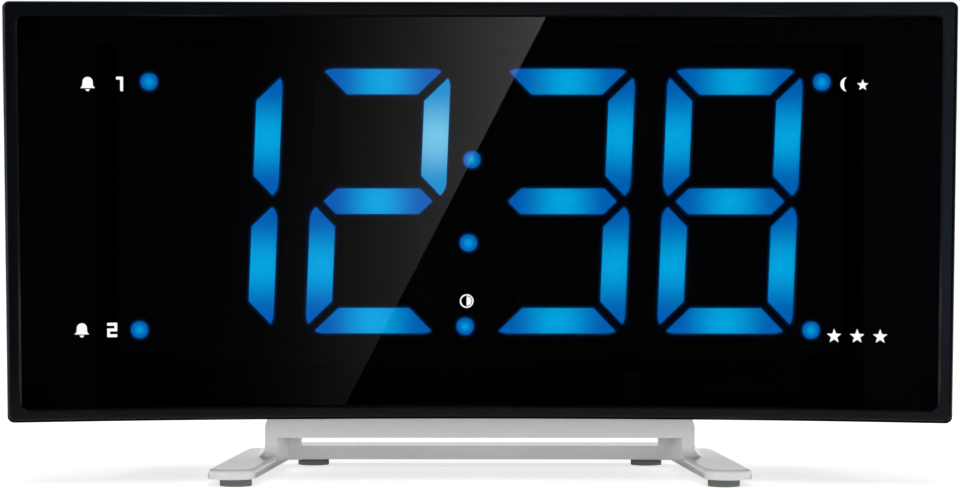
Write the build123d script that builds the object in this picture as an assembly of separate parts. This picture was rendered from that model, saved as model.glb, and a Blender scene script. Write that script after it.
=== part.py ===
from build123d import *
import math
import os

# A curved-front LED alarm clock on a splayed stand, in millimetres.
# X runs to the right seen from the front, Y to the rear and Z up.
# The origin is on the table, under the middle of the stand.
# Depths are measured to the rear from the middle of the front face.

# Clearances and overlaps shared by all pieces
overrun = 1.0             # how far a cut runs past the face that it opens
merge = 0.4               # how far a rib or boss runs into the wall that carries it
seat_gap = 0.05           # play between pieces that sit in one another
screw_gap = 0.05          # play round a screw's thread
slide_gap = 0.25          # play round a key in the deck

# Clock body: a shallow frame bent to a large radius, with a deeper pod behind it
body_width_top = 177.5
body_width_bottom = 176.0
margin_over_digits = 12.55
margin_under_digits = 15.95
body_corner = 1.3
front_radius = 357.0
rim_depth = 9.0
wall = 2.0
back_inset = 0.3          # shadow line between the frame and the back

# Front frame and lens
frame_face_side = 2.7
frame_face_top = 2.8
frame_face_bottom = 2.45
frame_round = 0.55
frame_chamfer = 0.35
opening_corner = 1.0
lip = 0.6                 # front lip that the lens sits behind
lens_seat = 0.8           # how far the lens reaches behind the lip
lens_thickness = 1.6
lens_clearance = 0.1
lens_backing_gap = 0.1    # between the lens and the screw bosses

# Pod behind the frame, sized round what it holds
pod_side_gap = 4.5        # beside the display
pod_deck_gap = 0.35       # between the display and the key deck over it
pod_taper = 10.0          # how much narrower each side is at the rear
pod_corner = 9.0
pod_edge = 2.0

# Stand
stand_height = 11.7       # from the table to the underside of the body
stand_depth = 53.5
toe_reach = 14.5          # how far the toes stand ahead of the front face
foot_width = 9.0
foot_thickness = 1.8
foot_spread = 92.4        # between the middles of the two toes
foot_spread_rear = 82.0   # between the middles of the two feet at their rear ends
foot_end_inset = 3.4      # from the stand's rear edge to the rear ends of the feet
foot_round = 0.9
heel_round = 2.5
leg_front = 15.4          # depth of the legs' front faces
leg_fillet = 2.0
bridge_width = 82.4
bridge_depth = 18.6
bridge_thickness = 4.9
bridge_round = 3.0
arch_depth = 13.6         # from the legs' front faces to the rear wall
window_width = 69.4
bar_depth = 9.0
bar_height = 2.65
bar_corner = 3.0
pad_diameter = 6.0
pad_height = 1.4
pad_stub_diameter = 3.0
pad_stub_height = 1.0
pad_spread_front = 91.0   # between the middles of the front pads
pad_spread_rear = 65.1

# Display
display_shift = -1.85     # middle of the digits from the middle of the body
display_gap = 0.4
digit_height = 50.0
digit_width = 25.6
digit_pitch = 31.65       # between the digits of one pair
middle_pitch = 34.8       # between the two pairs
digit_slant = 2.28        # degrees
digit_corner = 3.6
segment_width = 4.9
segment_gap = 1.7
middle_bar_length = 20.6
segment_depth = 3.0
dot_diameter = 3.35
dot_left = 61.5
dot_right = 65.4
dot_high = 22.5
dot_low = 24.3
colon_rise = 7.85
afternoon_drop = 23.6
reflector_width = 137.0
reflector_margin = 4.0
reflector_depth = 7.0
reflector_web = 1.5       # left under a screw head in the reflector
led_length = 2.0
led_width = 1.2
led_height = 0.8
display_screw_spread = 130.0
display_screw_rise = 11.0
ledge_width = 8.0
ledge_depth = 8.0

# Which segments each digit has, and which of them are lit to show 12:38
fitted_segments = ("bc", "abcdefg", "abcdefg", "abcdefg")
lit_segments = ("bc", "abdeg", "abcdg", "abcdefg")
half_turn = 180

# Boards
board_thickness = 1.6
main_board_width = 68.0
main_board_height = 46.0
main_board_x = -24.0
main_board_rise = 30.3    # from the floor of the pod to the middle of the board
main_board_gap = 0.5      # between the board and the bosses that it clears
board_spacing = 8.8       # between the display board and the main board
board_hole_inset = 4.0
post_diameter = 5.0
key_board_margin = 4.5    # beyond the middle of the last key
key_board_width = 14.0
key_screw_gap = 0.2       # between a switch and a screw head
rib_thickness = 2.0
rib_height = 10.0
rib_boss_diameter = 4.0

# Screws, all with pan heads
small_screw_diameter = 2.0
small_screw_length = 6.0
small_head_diameter = 3.6
small_head_height = 1.4
stand_screw_diameter = 2.6
stand_screw_length = 8.0
stand_head_diameter = 4.8
stand_head_height = 1.9
stand_screw_spread = 60.0
stand_screw_pitch = 9.0
stand_boss_diameter = 6.6
stand_boss_height = 6.0
stand_web = 2.4           # left under a screw head in the bridge
head_gap = 0.3            # room round a sunk screw head
frame_boss_diameter = 5.6
spot_face = 0.2           # least depth of the flat seat for a screw head on the curved back
head_flat_share = 0.55    # of the head's height that is a plain cylinder
head_crown_share = 0.6    # of the head's diameter that is flat on top

# Keys on the deck
key_depth = 20.5
key_length = 8.0
key_width = 9.0
key_corner = 1.6
key_pitch = 10.5
key_proud = 1.4
key_round = 0.45
snooze_gap = 3.5          # between the snooze bar and the keys beside it
snooze_length = 52.0
snooze_width = 10.0
snooze_corner = 3.0
snooze_proud = 1.8
snooze_round = 0.8
snooze_switch_spread = 30.0
flange_width = 0.9
flange_thickness = 1.0
plunger_diameter = 3.4
plunger_length = 1.0
switch_size = 6.0
switch_height = 3.4
switch_bore_depth = 1.5
switch_button_diameter = 3.4
switch_button_gap = 0.1
switch_button_proud = 1.4
switch_button_buried = 0.7
left_keys = ("alarm_one_key", "alarm_two_key", "sleep_key")
right_keys = ("mode_key", "minus_key", "plus_key")

# Power inlet
inlet_x = -12.0
inlet_rise = 16.0         # above the underside of the body
inlet_body = 9.0
inlet_length = 8.1        # from the main board to the collar
inlet_collar_diameter = 8.0
inlet_collar_gap = 0.3
inlet_bore_diameter = 5.7
inlet_bore_depth = 9.0
inlet_pin_diameter = 2.0
inlet_pin_recess = 1.0
inlet_pin_root = 1.0
inlet_pin_root_diameter = 1.4

# Speaker
speaker_x = 36.0
speaker_rise = 34.5       # above the underside of the body
speaker_diameter = 40.0
speaker_flange = 3.5
speaker_flange_thickness = 1.2
basket_wall = 1.5
basket_depth = 8.0
basket_base_diameter = 21.0
basket_base_thickness = 1.5
magnet_diameter = 22.0
magnet_height = 5.5
cone_thickness = 0.6
cone_depth = 5.0
cone_neck_diameter = 10.0
dust_cap_rise = 1.6
cone_gap = 0.1
speaker_rib = 1.5
speaker_rib_gap = 0.2
speaker_rib_height = 4.0
grille_diameter = 34.0
grille_slot = 1.9
grille_pitch = 3.8
grille_rows = 9

# Coin cell, its cup in the back wall and its cap
cell_x = -44.0
cell_rise = 30.0          # above the underside of the body
cell_diameter = 20.0
cell_height = 3.2
cell_play = 0.6
cell_gap = 0.15
cup_wall = 1.5
cup_floor = 1.2
cup_shoulder = 0.8
contact_thickness = 0.3
contact_gap = 0.1
contact_width = 4.0
contact_length = 9.0
side_contact_angle = 50.0
cap_diameter = 25.6
cap_thickness = 1.8
cap_gap = 0.15
cap_neck_wall = 1.6
cap_tab_reach = 1.0
cap_tab_thickness = 0.9
cap_tab_play = 0.1
cap_tab_angle = 36.0
cap_notch_angle = 42.0
cap_turn = 45.0
coin_slot_length = 14.0
coin_slot_width = 2.0
coin_slot_depth = 0.9

# Parts on the main board, placed by shares of the board's width and height
clock_chip_size = 10.0
radio_chip_size = 7.0
chip_height = 1.6
clock_chip_shares = (0.42, 0.60)
radio_chip_shares = (0.75, 0.78)
crystal_diameter = 2.2
crystal_length = 6.5
crystal_shares = (0.24, 0.62)
capacitor_diameter = 6.3
capacitor_height = 7.0
capacitor_places_shares = ((0.60, 0.22), (0.75, 0.22), (0.88, 0.42))
capacitor_groove = 0.3
capacitor_groove_share = 0.2
header_pins = 8
header_pitch = 2.54
header_pin = 0.64
header_base_height = 2.5
header_shares = (0.38, 0.88)

# Places that follow from the sizes above
front_y = toe_reach - stand_depth / 2
rear_y = stand_depth / 2
stand_rear = stand_depth - toe_reach
foot_top = pad_height + foot_thickness
bridge_low = stand_height - bridge_thickness
body_bottom = stand_height
body_height = margin_under_digits + digit_height + margin_over_digits
body_top = body_bottom + body_height
body_middle = body_bottom + body_height / 2
widest_half = max(body_width_top, body_width_bottom) / 2
bow = front_radius - math.sqrt(front_radius ** 2 - widest_half ** 2)
back_depth = rim_depth + wall
floor_top = body_bottom + wall
lens_back = lip + lens_thickness
reflector_front = lens_back + display_gap
reflector_back = reflector_front + reflector_depth
display_board_back = reflector_back + board_thickness
display_z = body_bottom + margin_under_digits + digit_height / 2
reflector_height = digit_height + 2 * reflector_margin
main_board_z = floor_top + main_board_rise
main_board_depth = display_board_back + board_spacing
main_board_back = main_board_depth + board_thickness
deck_low = display_z + reflector_height / 2 + pod_deck_gap
pod_top = deck_low + wall
pod_inner_depth = main_board_back + inlet_length + inlet_collar_gap
pod_depth = pod_inner_depth + wall
pod_width_front = reflector_width + 2 * (pod_side_gap + wall)
pod_width_rear = pod_width_front - 2 * pod_taper
first_key = snooze_length / 2 + snooze_gap + key_length / 2
last_key = first_key + (len(left_keys) - 1) * key_pitch
key_board_length = 2 * (last_key + key_board_margin)
rib_spread = 2 * last_key - key_pitch
flange_top = deck_low - seat_gap
plunger_low = flange_top - flange_thickness - plunger_length
switch_top = plunger_low - switch_button_proud
key_board_top = switch_top - switch_height
key_board_low = key_board_top - board_thickness
key_screw_depth = key_depth + switch_size / 2 + key_screw_gap + small_head_diameter / 2
inlet_z = body_bottom + inlet_rise
speaker_z = body_bottom + speaker_rise
cell_z = body_bottom + cell_rise
cap_seat = pod_depth - cap_thickness - seat_gap
cap_under = pod_depth - cap_thickness
cup_bore = cell_diameter / 2 + cell_play
groove_radius = cup_bore + cap_tab_reach + cap_gap
groove_far = cap_seat - cup_shoulder
groove_near = groove_far - cap_tab_thickness - 2 * cap_tab_play
tab_near = groove_near + cap_tab_play
cell_far = tab_near - cell_gap
cell_near = cell_far - cell_height
slant = math.tan(math.radians(digit_slant))
root_two = math.sqrt(2)
both_sides = (-1, 1)


# Helpers for drawing in the front view and filling between depths
def front_plane(x, depth, z):
    """Plane at a depth that looks to the front, with its X and Y along the part's X and Z."""
    return Plane((x, front_y + depth, z), x_dir=(1, 0, 0), z_dir=(0, -1, 0))


def prism(face, near, far):
    """Face drawn in X and Z, filled from one depth to another."""
    return extrude(front_plane(0, far, 0) * face, far - near, dir=(0, -1, 0))


def rod(x, z, diameter, near, far):
    return prism(Pos(x, z) * Circle(diameter / 2), near, far)


def block(x, z, width, height, near, far):
    return prism(Pos(x, z) * Rectangle(width, height), near, far)


def column(x, depth, diameter, low, high):
    return extrude(Pos(x, front_y + depth, low) * Circle(diameter / 2), high - low)


def sector(inner, outer, middle_angle, angle):
    """Part of a ring, drawn about the origin."""
    start = middle_angle - angle / 2
    edges = [
        CenterArc((0, 0), outer, start, angle),
        CenterArc((0, 0), inner, start, angle),
    ]
    edges.append(Line(edges[0] @ 0, edges[1] @ 0))
    edges.append(Line(edges[0] @ 1, edges[1] @ 1))
    return make_face(edges)


def bent_slab(near, far):
    """Slab between two depths, bent about the front radius and taller than the body."""
    ring = Circle(front_radius + far) - Circle(front_radius + near)
    low = body_bottom - overrun
    return extrude(Pos(0, front_y - front_radius, low) * ring, body_height + 2 * overrun)


def screw(diameter, length, head_diameter, head_height):
    """Pan-head screw along Z, with the underside of its head at the origin."""
    flat = head_height * head_flat_share
    radius = head_diameter / 2
    crown = radius * head_crown_share
    profile = make_face(Polyline((0, -length), (diameter / 2, -length), (diameter / 2, 0), (radius, 0),
                                 (radius, flat), (crown, head_height), (0, head_height), close=True))
    return revolve(Plane.XZ * profile, Axis.Z)


def small_screw():
    return screw(small_screw_diameter, small_screw_length, small_head_diameter, small_head_height)


# Clock body
def body_half(z):
    """Half the body's width at a height: the sides lean out a little towards the top."""
    share = (z - body_bottom) / body_height
    return (body_width_bottom + (body_width_top - body_width_bottom) * share) / 2


def panel_face(side, top, bottom, corner):
    """Outline of the front, drawn in by a margin on each edge."""
    low = body_bottom + bottom
    high = body_top - top
    right = body_half(low) - side
    right_top = body_half(high) - side
    corners = [(-right, low), (right, low), (right_top, high), (-right_top, high)]
    outline = make_face(Polyline(*corners, close=True))
    return fillet(outline.vertices(), corner)


def bent_panel(face, near, far):
    """Face drawn in X and Z, bent to the front radius between two depths."""
    return prism(face, near - bow - overrun, far + overrun) & bent_slab(near, far)


def lens_face(play):
    """Outline of the lens's seat, drawn in by some play."""
    inset = play - lens_seat
    side = frame_face_side + inset
    return panel_face(side, frame_face_top + inset, frame_face_bottom + inset, opening_corner)


def frame_screw_places():
    """X and Z of the four screws that hold the back to the frame."""
    radius = frame_boss_diameter / 2 - merge
    low = body_bottom + frame_face_bottom - lens_seat + radius
    high = body_top - frame_face_top + lens_seat - radius
    side_wall = frame_face_side - lens_seat
    return [(side * (body_half(z) - side_wall - radius), z) for side in both_sides for z in (low, high)]


def frame_screw_seat(x):
    """Depth of the flat seat that is sunk into the curved back right round a screw head."""
    outer = front_radius + back_depth
    rim = abs(x) + small_head_diameter / 2 + head_gap
    return math.sqrt(outer ** 2 - rim ** 2) - front_radius - spot_face


def front_edges(frame, near_outline):
    """Edges of the frame's concave front face: those round its outline, or those round its opening."""
    edges = []
    for edge in frame.edges():
        middle = edge @ (1 / 2)
        from_axis = math.hypot(middle.X, middle.Y - front_y + front_radius)
        on_front = abs(from_axis - front_radius) < seat_gap
        margin = min(body_half(middle.Z) - abs(middle.X), body_top - middle.Z, middle.Z - body_bottom)
        at_outline = margin < body_corner
        if on_front and at_outline == near_outline:
            edges.append(edge)
    return edges


def frame_boss_face(x, z):
    """Round boss that fills the frame's corner behind it."""
    radius = frame_boss_diameter / 2
    corner_x = x + math.copysign(radius / 2, x)
    corner_z = z + math.copysign(radius / 2, z - body_middle)
    return Pos(x, z) * Circle(radius) + Pos(corner_x, corner_z) * Rectangle(radius, radius)


def make_front_frame():
    frame = bent_panel(panel_face(0, 0, 0, body_corner), 0, rim_depth)
    opening = panel_face(frame_face_side, frame_face_top, frame_face_bottom, opening_corner)
    frame -= prism(opening, -bow - overrun, rim_depth + overrun)
    frame -= bent_panel(lens_face(0), lip, rim_depth + overrun)
    for x, z in frame_screw_places():
        frame += bent_panel(frame_boss_face(x, z), lens_back + lens_backing_gap, rim_depth)
    for x, z in frame_screw_places():
        hole = small_screw_diameter + 2 * screw_gap
        tip = frame_screw_seat(x) - small_screw_length - screw_gap
        frame -= rod(x, z, hole, tip, rim_depth + overrun)
    frame = chamfer(front_edges(frame, False), frame_chamfer)
    return fillet(front_edges(frame, True), frame_round)


def make_front_lens():
    return bent_panel(lens_face(lens_clearance), lip, lens_back)


def make_housing_screws():
    screws = []
    for x, z in frame_screw_places():
        plane = Plane((x, front_y + frame_screw_seat(x), z), x_dir=(1, 0, 0), z_dir=(0, 1, 0))
        screws.append(plane * small_screw())
    return Compound(screws)


# Rear housing
def pod_plan(inset):
    """Plan of the pod, drawn in by a wall, with rounded rear corners."""
    front = pod_width_front / 2 - inset
    rear = pod_width_rear / 2 - inset
    start = front_y - bow
    end = front_y + pod_depth - inset
    right = [(front, start), (front, front_y), (rear, end)]
    left = [(-x, y) for x, y in reversed(right)]
    outline = make_face(Polyline(*right, *left, close=True))
    return fillet(outline.vertices().group_by(Axis.Y)[-1], pod_corner - inset)


def make_pod():
    """Outer form of the pod, with its upper edges rounded, behind the bent back."""
    pod = extrude(Pos(0, 0, body_bottom) * pod_plan(0), pod_top - body_bottom)
    upper = pod.faces().sort_by(Axis.Z)[-1].edges()
    pod = fillet([edge for edge in upper if edge.center().Y > front_y - bow + overrun], pod_edge)
    inside = extrude(Pos(0, front_y - front_radius, 0) * Circle(front_radius + rim_depth), body_top)
    return pod - inside


def stand_screw_places():
    """X and depth of the screws between stand and body."""
    middle = leg_front + bridge_depth / 2
    depths = (middle - stand_screw_pitch / 2, middle + stand_screw_pitch / 2)
    return [(side * stand_screw_spread / 2, depth) for side in both_sides for depth in depths]


def display_screw_places():
    rises = (-display_screw_rise, display_screw_rise)
    return [(side * display_screw_spread / 2, display_z + rise) for side in both_sides for rise in rises]


def main_board_screw_places():
    across = main_board_width / 2 - board_hole_inset
    up = main_board_height / 2 - board_hole_inset
    places = []
    for side in both_sides:
        for end in both_sides:
            places.append((main_board_x + side * across, main_board_z + end * up))
    return places


def display_ledges(pod):
    """Four ledges on the pod's side walls that the display is screwed to."""
    inner = (display_screw_spread - ledge_width) / 2
    outer = pod_width_front / 2
    ledges = []
    for x, z in display_screw_places():
        middle = math.copysign((inner + outer) / 2, x)
        far = display_board_back + ledge_depth
        ledge = block(middle, z, outer - inner, ledge_width, display_board_back, far) & pod
        hole = small_screw_diameter + 2 * screw_gap
        ledges.append(ledge - rod(x, z, hole, display_board_back - overrun, far + overrun))
    return ledges


def board_posts():
    """Posts from the back wall that carry the main board."""
    posts = []
    for x, z in main_board_screw_places():
        post = rod(x, z, post_diameter, main_board_back, pod_inner_depth + merge)
        hole = small_screw_diameter + 2 * screw_gap
        tip = main_board_depth + small_screw_length + screw_gap
        posts.append(post - rod(x, z, hole, main_board_back - overrun, tip))
    return posts


def key_ribs():
    """Gussets on the back wall under the key board; the outer two carry screw bosses."""
    ribs = []
    rear = front_y + pod_inner_depth + merge
    front = front_y + key_depth
    corners = [(front, key_board_low), (rear, key_board_low), (rear, key_board_low - rib_height)]
    profile = make_face(Polyline(*corners, close=True))
    for x in (-rib_spread / 2, -snooze_switch_spread / 2, snooze_switch_spread / 2, rib_spread / 2):
        side = Plane((x - rib_thickness / 2, 0, 0), x_dir=(0, 1, 0), z_dir=(1, 0, 0))
        ribs.append(extrude(side * profile, rib_thickness, dir=(1, 0, 0)))
    for side in both_sides:
        x = side * rib_spread / 2
        boss_low = key_board_low - small_screw_length
        ribs.append(column(x, key_screw_depth, rib_boss_diameter, boss_low, key_board_low))
    return ribs


def cell_cup():
    """Round cup inside the back wall for the coin cell."""
    outer = 2 * (groove_radius + cup_wall)
    return rod(cell_x, cell_z, outer, cell_near - cup_floor, pod_inner_depth + merge)


def cell_cup_cuts():
    """Recess for the cap, bore for the cell, groove and notches for the cap's tabs, seat for the contact."""
    cuts = [
        rod(cell_x, cell_z, cap_diameter + 2 * cap_gap, cap_seat, pod_depth + overrun),
        rod(cell_x, cell_z, 2 * cup_bore, cell_near, pod_depth),
        rod(cell_x, cell_z, 2 * groove_radius, groove_near, groove_far),
        block(cell_x, cell_z, contact_length + 2 * seat_gap, contact_width + 2 * seat_gap,
              cell_near - contact_thickness, cell_near),
    ]
    for angle in (0, half_turn):
        notch = sector(cup_bore - merge, groove_radius, angle - cap_turn, cap_notch_angle)
        cuts.append(prism(Pos(cell_x, cell_z) * notch, groove_near, cap_seat + seat_gap))
    return cuts


def grille_slots():
    """Rows of round-ended slots that fill a circle in front of the speaker."""
    slots = []
    for row in range(grille_rows):
        rise = (row - (grille_rows - 1) / 2) * grille_pitch
        length = 2 * math.sqrt((grille_diameter / 2) ** 2 - rise ** 2)
        face = Pos(speaker_x, speaker_z + rise) * SlotOverall(length, grille_slot)
        slots.append(prism(face, pod_inner_depth - overrun, pod_depth + overrun))
    return slots


def deck_holes():
    """Openings in the deck for the snooze bar and the keys."""
    holes = [key_face(snooze_length, snooze_width, snooze_corner, slide_gap)]
    for x in key_places().values():
        holes.append(Pos(x, 0) * key_face(key_length, key_width, key_corner, slide_gap))
    place = Pos(0, front_y + key_depth, deck_low - overrun)
    return [extrude(place * hole, wall + 2 * overrun) for hole in holes]


def make_back_panel():
    """Bent panel behind the frame, with a flat seat and a hole for each screw."""
    panel = bent_panel(panel_face(back_inset, back_inset, back_inset, body_corner), rim_depth, back_depth)
    for x, z in frame_screw_places():
        seat = frame_screw_seat(x)
        hole = rod(x, z, small_screw_diameter + 2 * screw_gap, rim_depth - bow - overrun, back_depth)
        panel -= hole + rod(x, z, small_head_diameter + 2 * head_gap, seat, back_depth)
    return panel


def make_rear_housing():
    pod = make_pod()
    housing = make_back_panel() + pod
    housing -= extrude(Pos(0, 0, floor_top) * pod_plan(wall), deck_low - floor_top)
    for x, depth in stand_screw_places():
        boss_top = floor_top + stand_boss_height
        housing += column(x, depth, stand_boss_diameter, floor_top - merge, boss_top) & pod
    rib_outer = speaker_diameter / 2 + speaker_rib_gap + speaker_rib
    rib_face = Circle(rib_outer) - Circle(rib_outer - speaker_rib)
    rib_near = pod_inner_depth - speaker_rib_height
    rib = prism(Pos(speaker_x, speaker_z) * rib_face, rib_near, pod_inner_depth + merge)
    housing += [rib & pod, cell_cup()] + display_ledges(pod) + board_posts() + key_ribs()
    housing -= cell_cup_cuts() + grille_slots() + deck_holes()
    housing -= rod(inlet_x, inlet_z, inlet_collar_diameter + 2 * inlet_collar_gap, pod_inner_depth - overrun,
                   pod_depth + overrun)
    for x, depth in stand_screw_places():
        hole = stand_screw_diameter + 2 * screw_gap
        tip = bridge_low + bridge_thickness - stand_web + stand_screw_length + screw_gap
        housing -= column(x, depth, hole, body_bottom - overrun, tip)
    for side in both_sides:
        tip = key_board_top - small_screw_length - screw_gap
        hole = small_screw_diameter + 2 * screw_gap
        housing -= column(side * rib_spread / 2, key_screw_depth, hole, tip, key_board_low + overrun)
    return housing


# Stand: the right-hand leg and foot are drawn, and the left ones mirror them
def foot_line():
    """Middle of the right toe and middle of the right foot's rear end, in plan."""
    toe = Vector(foot_spread / 2, foot_width / 2 - rear_y)
    heel = Vector(foot_spread_rear / 2, rear_y - foot_end_inset)
    return toe, heel


def foot_inner_x(y):
    """X of the right foot's inner edge at a place along Y."""
    toe, heel = foot_line()
    along = (heel - toe).normalized()
    edge = toe + Vector(-along.Y, along.X) * (foot_width / 2)
    return edge.X + (y - edge.Y) * along.X / along.Y


def foot_plan():
    """Long strip with a round toe."""
    toe, heel = foot_line()
    along = (heel - toe).normalized()
    across = Vector(-along.Y, along.X) * (foot_width / 2)
    corners = [toe + across, toe - across, heel - across, heel + across]
    strip = make_face(Polyline(*[(p.X, p.Y) for p in corners], close=True))
    strip = fillet(strip.vertices().sort_by(Axis.Y)[-1], heel_round)
    return strip + Pos(toe.X, toe.Y) * Circle(foot_width / 2)


def make_foot():
    foot = extrude(Pos(0, 0, pad_height) * foot_plan(), foot_thickness)
    return fillet(foot.faces().sort_by(Axis.Z)[-1].edges(), foot_round)


def make_leg():
    """Wall from foot to bridge, flush with the foot's inner edge."""
    near = front_y + leg_front
    far = near + bridge_depth
    outer = bridge_width / 2
    corners = [(foot_inner_x(near), near), (outer, near), (outer, far), (foot_inner_x(far), far)]
    outline = Polyline(*corners, close=True)
    return extrude(Pos(0, 0, pad_height) * make_face(outline), stand_height - pad_height)


def make_leg_cove():
    """Hollow curve round the front and the outside of the leg, where it meets the foot."""
    near = front_y + leg_front
    outer = bridge_width / 2
    crest = foot_top + leg_fillet
    profile = make_face([
        Line((0, crest), (0, pad_height)),
        Line((0, pad_height), (leg_fillet, pad_height)),
        Line((leg_fillet, pad_height), (leg_fillet, foot_top)),
        CenterArc((leg_fillet, crest), leg_fillet, half_turn, half_turn / 2),
    ])
    front = Plane((outer, near, 0), x_dir=(0, -1, 0), z_dir=(-1, 0, 0)) * profile
    outside = Plane((outer, near, 0), x_dir=(1, 0, 0), z_dir=(0, -1, 0)) * profile
    cove = extrude(front, foot_width, dir=(-1, 0, 0)) + extrude(outside, bridge_depth, dir=(0, 1, 0))
    cove += revolve(outside, Axis((outer, near, 0), (0, 0, -1)), half_turn / 2)
    return cove & extrude(foot_plan(), stand_height)


def pad_places():
    """Middles of the four rubber pads, in plan."""
    toe_y = foot_width / 2 - rear_y
    heel_y = rear_y - pad_diameter / 2 - foot_round
    places = [(side * pad_spread_front / 2, toe_y) for side in both_sides]
    return places + [(side * pad_spread_rear / 2, heel_y) for side in both_sides]


def make_stand_bridge():
    """Bridge under the body and the wall behind the arch, with its window and rounded upper corners."""
    near = leg_front + arch_depth
    far = leg_front + bridge_depth
    bridge = block(0, stand_height - bridge_thickness / 2, bridge_width, bridge_thickness, leg_front, far)
    window_height = bridge_low - pad_height
    window_z = (pad_height + bridge_low) / 2
    rear_wall = block(0, window_z, bridge_width, window_height, near, far)
    rear_wall -= block(0, window_z, window_width, window_height, near - overrun, far + overrun)
    return bridge + rear_wall


def make_stand():
    half = make_leg() + make_leg_cove()
    stand = make_stand_bridge() + half + mirror(half, Plane.YZ)
    corners = stand.edges().filter_by(Axis.Y).group_by(Axis.Z)[-1]
    stand = fillet(corners, bridge_round)
    foot = make_foot()
    bar_width = 2 * (foot_inner_x(rear_y) + merge)
    bar_near = stand_rear - bar_depth
    rear_bar = block(0, pad_height + bar_height / 2, bar_width, bar_height, bar_near, stand_rear)
    rear_bar = fillet(rear_bar.edges().filter_by(Axis.Z).group_by(Axis.Y)[-1], bar_corner)
    stand += [foot, mirror(foot, Plane.YZ), rear_bar]
    for x, y in pad_places():
        hole = Circle(pad_stub_diameter / 2 + seat_gap)
        stand -= extrude(Pos(x, y, pad_height) * hole, pad_stub_height + seat_gap)
    for x, depth in stand_screw_places():
        seat = stand_height - stand_web
        hole = stand_screw_diameter + 2 * screw_gap
        stand -= column(x, depth, hole, bridge_low - overrun, stand_height + overrun)
        stand -= column(x, depth, stand_head_diameter + 2 * head_gap, bridge_low - overrun, seat)
    return stand


def make_rubber_feet():
    pads = []
    for x, y in pad_places():
        pad = extrude(Pos(x, y, 0) * Circle(pad_diameter / 2), pad_height)
        pads.append(pad + extrude(Pos(x, y, pad_height) * Circle(pad_stub_diameter / 2), pad_stub_height))
    return Compound(pads)


def make_stand_screws():
    screws = []
    for x, depth in stand_screw_places():
        plane = Plane((x, front_y + depth, stand_height - stand_web), x_dir=(1, 0, 0), z_dir=(0, 0, -1))
        screws.append(plane * screw(stand_screw_diameter, stand_screw_length, stand_head_diameter,
                                    stand_head_height))
    return Compound(screws)


# Display: seven-segment digits whose outer corners follow rounded loops
def lean(point):
    """Shift a point of the upright digit sideways by the digit's slant."""
    return (point.X + point.Y * slant, point.Y)


def corner_arc(centre, start, end, radius):
    """Leaning arc round a loop's corner."""
    middle = centre + (start + end - centre * 2).normalized() * radius
    return ThreePointArc(lean(start), lean(middle), lean(end))


def segment_faces(shrink):
    """The seven segments of one digit by letter, each drawn in by shrink on all sides."""
    width = segment_width - 2 * shrink
    gap = segment_gap + 2 * shrink
    radius = digit_corner - shrink
    tip_half = middle_bar_length / 2 - shrink * root_two
    upright_u = (digit_width - segment_width) / 2
    bar_v = (digit_height - segment_width) / 2
    loop_u = digit_width / 2 - digit_corner
    top_corner = Vector(loop_u, digit_height / 2 - digit_corner)
    low_corner = Vector(loop_u, digit_corner)
    along = math.sqrt(radius ** 2 - (gap / 2) ** 2)
    flat_tip = top_corner + Vector(along - gap / 2, along + gap / 2) / root_two
    upright_tip = top_corner + Vector(along + gap / 2, along - gap / 2) / root_two
    reach = tip_half + gap * root_two
    offset_low = (reach - low_corner.X - low_corner.Y) / root_two
    along_low = math.sqrt(radius ** 2 - offset_low ** 2)
    lower_tip = low_corner + Vector(offset_low + along_low, offset_low - along_low) / root_two
    inner_u = upright_u - width / 2
    outer_u = upright_u + width / 2

    def flat_bar():
        inner = Vector(inner_u - gap / root_two, bar_v - width / 2)
        outer = Vector(loop_u, bar_v + width / 2)
        left = [Vector(-p.X, p.Y) for p in (inner, flat_tip, outer, top_corner)]
        return make_face([
            Line(lean(left[0]), lean(inner)),
            Line(lean(inner), lean(flat_tip)),
            corner_arc(top_corner, flat_tip, outer, radius),
            Line(lean(outer), lean(left[2])),
            corner_arc(left[3], left[2], left[1], radius),
            Line(lean(left[1]), lean(left[0])),
        ])

    def upright(side):
        points = [
            Vector(inner_u, reach - inner_u),
            Vector(inner_u, bar_v - width / 2 - gap / root_two),
            upright_tip,
            Vector(outer_u, top_corner.Y),
            Vector(outer_u, low_corner.Y),
            lower_tip,
            top_corner,
            low_corner,
        ]
        low, high, tip, start, end, heel, upper, lower = [Vector(side * p.X, p.Y) for p in points]
        return make_face([
            Line(lean(low), lean(high)),
            Line(lean(high), lean(tip)),
            corner_arc(upper, tip, start, radius),
            Line(lean(start), lean(end)),
            corner_arc(lower, end, heel, radius),
            Line(lean(heel), lean(low)),
        ])

    bevel = width / 2
    right = [Vector(tip_half - bevel, -bevel), Vector(tip_half, 0), Vector(tip_half - bevel, bevel)]
    left = [Vector(-p.X, -p.Y) for p in right]
    middle_bar = make_face(Polyline(*[lean(p) for p in right + left], close=True))
    turned = Rot(0, 0, half_turn)
    return {
        "a": flat_bar(),
        "b": upright(1),
        "c": turned * upright(-1),
        "d": turned * flat_bar(),
        "e": turned * upright(1),
        "f": upright(-1),
        "g": middle_bar,
    }


def digit_places():
    """Middles of the four digits, in X and Z."""
    half = middle_pitch / 2
    middles = (-half - digit_pitch, -half, half, half + digit_pitch)
    return [Pos(display_shift + u, display_z) for u in middles]


def digit_faces(letters, shrink):
    """Faces of the named segments of each digit, in place."""
    faces = segment_faces(shrink)
    return [place * faces[letter] for place, row in zip(digit_places(), letters) for letter in row]


def dot_faces(shrink):
    """Colon, afternoon dot and the four corner indicators, in place."""
    points = [(0, colon_rise), (0, -colon_rise), (0, -afternoon_drop)]
    points += [(-dot_left, dot_high), (-dot_left, -dot_low), (dot_right, dot_high), (dot_right, -dot_low)]
    dots = [lean(Vector(u, v)) for u, v in points]
    return [Pos(display_shift + u, display_z + v) * Circle(dot_diameter / 2 - shrink) for u, v in dots]


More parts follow.
